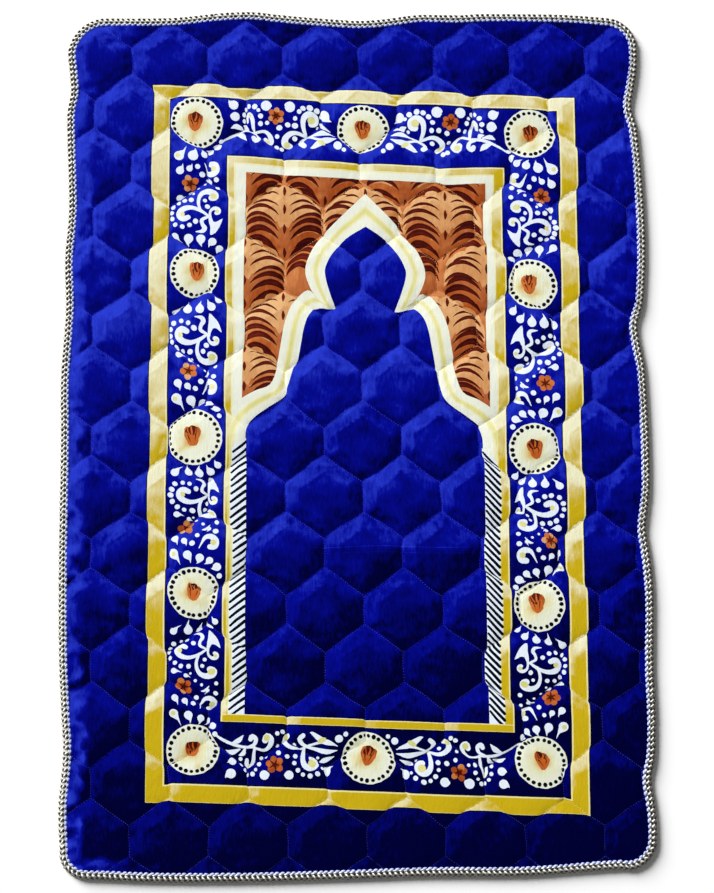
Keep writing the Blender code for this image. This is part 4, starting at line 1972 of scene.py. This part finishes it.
@dataclass(frozen=True)
class YarnFinish:
    """A twisted yarn or thread: two tones in slanting plies, with a fuzzy surface."""

    name: str
    dark: tuple[int, int, int]
    light: tuple[int, int, int]
    ply: float = 260.0
    ply_share: float = 0.4
    roughness: float = 0.75
    fuzz: float = 0.15

    def material(self) -> Material:
        """Build the material.

        Returns:
            The material.
        """
        material, nodes, shader = new_material(self.name)
        place = nodes.place()
        wave = nodes.add("ShaderNodeTexWave", {"Vector": place, "Scale": self.ply,
                                               "Distortion": 2.0, "Detail": 2.0},
                         bands_direction="DIAGONAL").outputs["Fac"]
        uneven = nodes.noise(place, 160.0, 3.0)
        share = nodes.plus(nodes.times(wave, self.ply_share),
                           nodes.times(uneven, 1 - self.ply_share))
        color = nodes.mix(share, rgba(self.dark), rgba(self.light))
        bump = nodes.add("ShaderNodeBump", {"Height": wave, "Strength": 0.4,
                                            "Distance": 0.0003})
        dress(nodes, shader, {"Base Color": color, "Normal": bump.outputs[0]},
              {"Roughness": self.roughness, "Sheen Weight": self.fuzz})
        return material


# ---- stitching and edge
def add_piece(name: str, mesh: Mesh, materials: Sequence[Material]) -> bpy.types.Object:
    """Add a finished mesh to the scene as a piece that rides on the body.

    Args:
        name: of the piece.
        mesh: its mesh.
        materials: in the order of its face indices.

    Returns:
        The object.
    """
    for material in materials:
        mesh.materials.append(material)
    piece = bpy.data.objects.new(name, mesh)
    bpy.context.scene.collection.objects.link(piece)
    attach(piece, "root")
    return piece


def turned(place: Sequence[float], along: Array, up: Array,
           size: Sequence[float]) -> Matrix:
    """Return the matrix that puts a unit shape at a place.

    Args:
        place: where its middle goes.
        along: direction of its length.
        up: direction of its height, roughly.
        size: its length, width and height.

    Returns:
        The matrix.
    """
    first = Vector(along).normalized()
    third = Vector(up)
    second = third.cross(first).normalized()
    third = first.cross(second)
    turn = Matrix((first, second, third)).transposed().to_4x4()
    return Matrix.Translation(place) @ turn @ Matrix.Diagonal((*size, 1.0))


@dataclass
class Scatter:
    """Many copies of one small shape, gathered into one mesh."""

    name: str
    shape: Mesh
    matrices: list[Matrix] = field(default_factory=list)
    finishes: list[int] = field(default_factory=list)

    def put(self, matrix: Matrix, finish: int) -> None:
        """Add a copy with the finish of that number."""
        self.matrices.append(matrix)
        self.finishes.append(finish)

    def mesh(self) -> Mesh:
        """Gather the copies.

        Returns:
            The mesh of them all.
        """
        unit = np.array([(*v.co, 1.0) for v in self.shape.vertices])
        faces = np.array([polygon.vertices for polygon in self.shape.polygons])
        turns = np.array(self.matrices)[:, :3, :]
        places = np.einsum("nij,vj->nvi", turns, unit).reshape(-1, 3)
        shifts = np.arange(len(turns)) * len(unit)
        corners = (faces[None] + shifts[:, None, None]).reshape(-1, faces.shape[1])
        mesh = bpy.data.meshes.new(self.name)
        mesh.from_pydata(places, [], corners.tolist(), shade_flat=False)
        mesh.polygons.foreach_set("material_index", np.repeat(self.finishes, len(faces)))
        return mesh


def stitch_shape() -> Mesh:
    """Make a rough ball of 20 triangles, to be stretched into stitches.

    Returns:
        The ball, of radius 1.
    """
    bm = bmesh.new()
    bmesh.ops.create_icosphere(bm, subdivisions=1, radius=1.0)
    return written(bm, "stitch")


def lump_shape() -> Mesh:
    """Make a ball of 48 triangles, to be stretched into lumps of yarn.

    Returns:
        The ball, a little over 1 in radius, so that its flat faces fill the lump's size.
    """
    bm = bmesh.new()
    bmesh.ops.create_uvsphere(bm, u_segments=8, v_segments=4, radius=1.04)
    bmesh.ops.triangulate(bm, faces=bm.faces)
    return written(bm, "lump")


@dataclass
class QuiltThread:
    """The sewing thread in the channels: one small raised stitch after the other."""

    surface: QuiltSurface
    patches: list[Patch]
    pitch: float = 0.0036
    length: float = 0.0027
    width: float = 0.0007
    thickness: float = 0.0006

    def stitches(self) -> Array:
        """Lay the stitches along the seams.

        Returns:
            The middle and heading of each stitch, as rows of x, y, dx, dy.
        """
        quilt = self.surface.quilt
        rows = []
        for row, column in quilt.pads():
            corners = quilt.corners(row, column, 0.0)
            for start, end in ((corners[0], corners[1]), (corners[1], corners[2]),
                               (corners[5], corners[0])):
                run = end - start
                reach = float(np.linalg.norm(run))
                count = round(reach / self.pitch)
                for k in range(count):
                    place = start + run * (k + 0.5) / count
                    rows.append((*place, *(run / reach)))
        found = np.array(rows)
        found[:, :2] = quilt.strayed(found[:, :2])
        found = found[np.argsort(found[:, 1], kind="stable")]
        inside = within(found[:, :2], self.surface.rim)
        inside &= self.surface.to_rim(found[:, 0], found[:, 1]) > self.surface.lap + 0.001
        return found[inside]

    def mesh(self) -> Mesh:
        """Build the stitches; those on pale dyes take the second material.

        Returns:
            One mesh.
        """
        rows = self.stitches()
        rim = self.surface.to_rim(rows[:, 0], rows[:, 1])
        height = self.surface.height(rows[:, 0], rows[:, 1], rim)
        slope = self.surface.slope(rows[:, 0], rows[:, 1], rim)
        dyes = list(Dye)
        codes = covering(rows[:, :2], self.patches)
        rng = random.Random(5)
        scatter = Scatter("quilting_thread", stitch_shape())
        for (x, y, dx, dy), z, rise, code in zip(rows, height, slope, codes):
            climb = dx * rise[0] + dy * rise[1]
            size = (self.length / 2 * rng.uniform(0.85, 1.1), self.width / 2, self.thickness / 2)
            matrix = turned((x, y, z), np.array([dx, dy, climb]),
                            np.array([0, 0, 1.0]), size)
            scatter.put(matrix, int(dyes[code] not in (Dye.BLUE, Dye.NAVY)))
        return scatter.mesh()


@dataclass(frozen=True)
class YarnRow:
    """One row of yarn lumps round the edge. Lengths in metres, the turn in degrees."""

    inward: float
    height: float
    length: float
    width: float
    thickness: float
    turn: float
    offset: float
    material: int


@dataclass
class WhippedEdge:
    """The whipped edge: a cord round the rim, with rows of pale yarn and dark dots over it."""

    edge: Array
    pitch: float = 0.0073
    rows: tuple = (
        # inward, height, length, width, thickness, turn, offset, material
        YarnRow(0.0101, 0.0070, 0.0062, 0.0040, 0.0028, 0, 0.5, 0),
        YarnRow(0.0084, 0.0070, 0.0052, 0.0022, 0.0026, 0, 0.0, 1),
        YarnRow(0.0066, 0.0077, 0.0047, 0.0038, 0.0028, 0, 0.5, 2),
        YarnRow(0.0046, 0.0072, 0.0066, 0.0026, 0.0028, -42, 0.25, 1),
        YarnRow(0.0024, 0.0070, 0.0047, 0.0038, 0.0030, 0, 0.0, 2),
        YarnRow(0.0008, 0.0042, 0.0050, 0.0028, 0.0036, 0, 0.5, 3),
    )
    # inward, height of the cord's section
    section: tuple = ((0.0106, 0.0), (0.0016, 0.0), (0.0004, 0.0016), (0.0002, 0.0034),
                      (0.0012, 0.0052), (0.0040, 0.0060), (0.0080, 0.0060), (0.0104, 0.0052),
                      (0.0104, 0.0042))
    seed: int = 3

    def core(self) -> Mesh:
        """Build the cord that the yarn is whipped round.

        Returns:
            The mesh of one closed strip.
        """
        bm = bmesh.new()
        rings = []
        for inward, height in self.section:
            moved = inset(self.edge, inward)
            rings.append([bm.verts.new((x, y, height)) for x, y in moved])
        count = len(self.edge)
        for near, far in zip(rings, rings[1:] + rings[:1]):
            for i in range(count):
                face = bm.faces.new((near[i - 1], near[i], far[i], far[i - 1]))
                face.smooth = True
        bmesh.ops.recalc_face_normals(bm, faces=bm.faces)
        return written(bm, "edging_cord")

    def yarns(self) -> Mesh:
        """Build every lump of yarn.

        Returns:
            One mesh.
        """
        rng = random.Random(self.seed)
        scatter = Scatter("edging_yarn", lump_shape())
        for row in self.rows:
            line = inset(self.edge, row.inward)
            run = np.roll(line, -1, axis=0) - line
            length = np.linalg.norm(run, axis=1)
            along = np.concatenate([[0.0], np.cumsum(length)])
            outer = np.roll(self.edge, -1, axis=0) - self.edge
            count = round(float(np.linalg.norm(outer, axis=1).sum()) / self.pitch)
            for k in range(count):
                at = (k + row.offset + rng.gauss(0, 0.05)) / count * along[-1] % along[-1]
                i = int(np.searchsorted(along, at, side="right")) - 1
                heading = run[i] / length[i]
                place = line[i] + heading * (at - along[i])
                way = Vector((*heading, 0.0))
                way.rotate(Matrix.Rotation(math.radians(row.turn + rng.gauss(0, 4)), 3, "Z"))
                size = [part / 2 * rng.uniform(0.92, 1.08)
                        for part in (row.length, row.width, row.thickness)]
                spot = (place[0], place[1], row.height - row.thickness / 2)
                matrix = turned(spot, np.array(way), np.array([0, 0, 1.0]), size)
                scatter.put(matrix, row.material)
        return scatter.mesh()


def inset(outline: Array, distance: float) -> Array:
    """Move an outline inwards.

    Args:
        outline: rows of x, y, counter-clockwise.
        distance: how far.

    Returns:
        The moved rows.
    """
    ahead = np.roll(outline, -1, axis=0) - np.roll(outline, 1, axis=0)
    ahead /= np.linalg.norm(ahead, axis=1)[:, None]
    return outline + np.column_stack([-ahead[:, 1], ahead[:, 0]]) * distance


def rug_edge(spacing: float) -> Array:
    """Return the rug's outer edge, smoothed from the CAD binding.

    Args:
        spacing: between the points of the outline, in metres.

    Returns:
        Rows of x, y, counter-clockwise.
    """
    nose = [v.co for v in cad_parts["edge_binding"].data.vertices
            if abs(v.co.z - 0.00315) < 0.0004]
    places = sorted({(round(co.x, 5), round(co.y, 5)) for co in nose},
                    key=lambda place: math.atan2(place[1], place[0]))
    fine = smooth_curve(places, 16, closed=True)
    length = np.linalg.norm(np.roll(fine, -1, axis=0) - fine, axis=1)
    along = np.concatenate([[0.0], np.cumsum(length)])
    count = round(along[-1] / spacing)
    stops = np.arange(count) / count * along[-1]
    closed = np.vstack([fine, fine[:1]])
    return np.column_stack([np.interp(stops, along, closed[:, k]) for k in (0, 1)])


# ---- studio
@dataclass(frozen=True)
class SoftLight:
    """A square soft light: where it hangs, its side in metres and its power."""

    name: str
    place: tuple[float, float, float]
    side: float
    watts: float

    def hang(self) -> None:
        """Add the light, turned to the middle of the rug."""
        lamp = bpy.data.lights.new(self.name, "AREA")
        lamp.size, lamp.energy = self.side, self.watts
        aim(self.name, lamp, self.place)


@dataclass(frozen=True)
class FarLight:
    """A large light far away: the way it comes from, how wide it looks, its strength."""

    name: str
    come_from: tuple[float, float, float]
    width: float
    strength: float

    def hang(self) -> None:
        """Add the light."""
        lamp = bpy.data.lights.new(self.name, "SUN")
        lamp.angle, lamp.energy = math.radians(self.width), self.strength
        aim(self.name, lamp, self.come_from)


def aim(name: str, lamp: bpy.types.Light, place: Sequence[float]) -> None:
    """Put a light at a place, turned to the middle of the rug.

    Args:
        name: of the light.
        lamp: its data.
        place: where it hangs, or the way it comes from.
    """
    item = bpy.data.objects.new(name, lamp)
    item.location = place
    item.rotation_euler = Vector(place).to_track_quat("Z", "Y").to_euler()
    bpy.context.scene.collection.objects.link(item)


@dataclass
class Studio:
    """Pale floor, soft lights and the camera at the photograph's place."""

    tilt: float = 10.0
    distance: float = 3.65
    aim: tuple[float, float] = (0.0026, -0.0158)
    focal: float = 108.65
    floor_side: float = 60.0
    paper: tuple[float, float, float, float] = (0.97, 0.97, 0.97, 1.0)
    # how much the surroundings light the rug; to the camera they are plain white
    surround: float = 0.09
    lights: tuple = (
        SoftLight("overhead", (0.0, 0.0, 3.6), 2.4, 7.0),
        SoftLight("beyond_the_top", (-0.35, 1.9, 1.2), 0.9, 3.0),
        FarLight("upper_left", (-1.0, 1.0, 0.61), 32.0, 7.1),
    )

    def floor(self) -> bpy.types.Object:
        """Add the floor.

        Returns:
            The floor, a hair below the rug.
        """
        bm = bmesh.new()
        bmesh.ops.create_grid(bm, x_segments=1, y_segments=1, size=self.floor_side / 2)
        mesh = written(bm, "floor")
        material, nodes, shader = new_material("floor_paper")
        dress(nodes, shader, {}, {"Base Color": self.paper, "Roughness": 0.9,
                                  "Specular IOR Level": 0.1})
        mesh.materials.append(material)
        item = bpy.data.objects.new("floor", mesh)
        item.location.z = -0.0004
        bpy.context.scene.collection.objects.link(item)
        return item

    def build(self) -> None:
        """Set up the floor, lights, surroundings and camera."""
        self.floor()
        for light in self.lights:
            light.hang()
        scene = bpy.context.scene
        scene.world = bpy.data.worlds.new("studio")
        scene.world.use_nodes = True
        sky = scene.world.node_tree.nodes["Background"]
        sky.inputs["Color"].default_value = (1.0, 1.0, 1.0, 1.0)
        nodes = Nodes(scene.world.node_tree)
        seen = nodes.add("ShaderNodeLightPath").outputs["Is Camera Ray"]
        glow = nodes.plus(nodes.times(seen, 1 - self.surround), self.surround)
        scene.world.node_tree.links.new(glow, sky.inputs["Strength"])
        scene.view_settings.view_transform = "Standard"
        camera = bpy.data.cameras.new("camera")
        camera.lens, camera.sensor_width, camera.sensor_fit = self.focal, 36.0, "AUTO"
        item = bpy.data.objects.new("camera", camera)
        tilt = math.radians(self.tilt)
        item.location = (self.aim[0], self.aim[1] - self.distance * math.sin(tilt),
                         self.distance * math.cos(tilt))
        item.rotation_euler = (tilt, 0.0, 0.0)
        scene.collection.objects.link(item)
        scene.camera = item


# points along the outline, and how far the pad's rim lies inside the edging's nose
EDGE_SPACING = 0.0042
PAD_INSET = 0.0015


def main() -> None:
    """Build the rug and the studio."""
    logging.basicConfig(level=logging.INFO, format="%(message)s")
    edge = rug_edge(EDGE_SPACING)
    surface = QuiltSurface(HexQuilt(), inset(edge, PAD_INSET))
    rug_print = RugPrint()
    lay = PrintLay(surface, rug_print.half_width, rug_print.half_length)
    patches = [Patch(lay.onto_rug(patch.outline), patch.dye) for patch in rug_print.patches()]
    LOG.info("print: %d shapes", len(patches))

    pile = PileEffect().group()
    finishes = [finish.material(pile) for finish in PLUSHES] + [Backing().material()]
    pad = add_piece("plush_pad", PlushPad(surface, patches).mesh(), finishes)
    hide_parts("quilted_pad")
    LOG.info("plush_pad: %d faces", len(pad.data.polygons))

    threads = [YarnFinish("thread_blue", (8, 14, 116), (38, 52, 190), 500.0).material(),
               YarnFinish("thread_tan", (190, 166, 104), (230, 216, 166), 500.0).material()]
    thread = add_piece("quilting_thread", QuiltThread(surface, patches).mesh(), threads)
    LOG.info("quilting_thread: %d faces", len(thread.data.polygons))

    whipping = WhippedEdge(edge)
    cord = add_piece("edging_cord", whipping.core(),
                     [YarnFinish("cord_grey", (150, 148, 140), (226, 222, 206)).material()])
    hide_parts("edge_binding")
    yarns = [YarnFinish("yarn_lilac", (128, 146, 222), (208, 216, 252)).material(),
             YarnFinish("yarn_white", (222, 220, 212), (255, 255, 250)).material(),
             YarnFinish("yarn_black", (4, 4, 8), (26, 24, 24)).material(),
             YarnFinish("yarn_cream", (70, 62, 44), (168, 158, 128)).material()]
    yarn = add_piece("edging_yarn", whipping.yarns(), yarns)
    LOG.info("edging_yarn: %d faces", len(yarn.data.polygons))

    Studio().build()


if __name__ == "__main__":
    main()
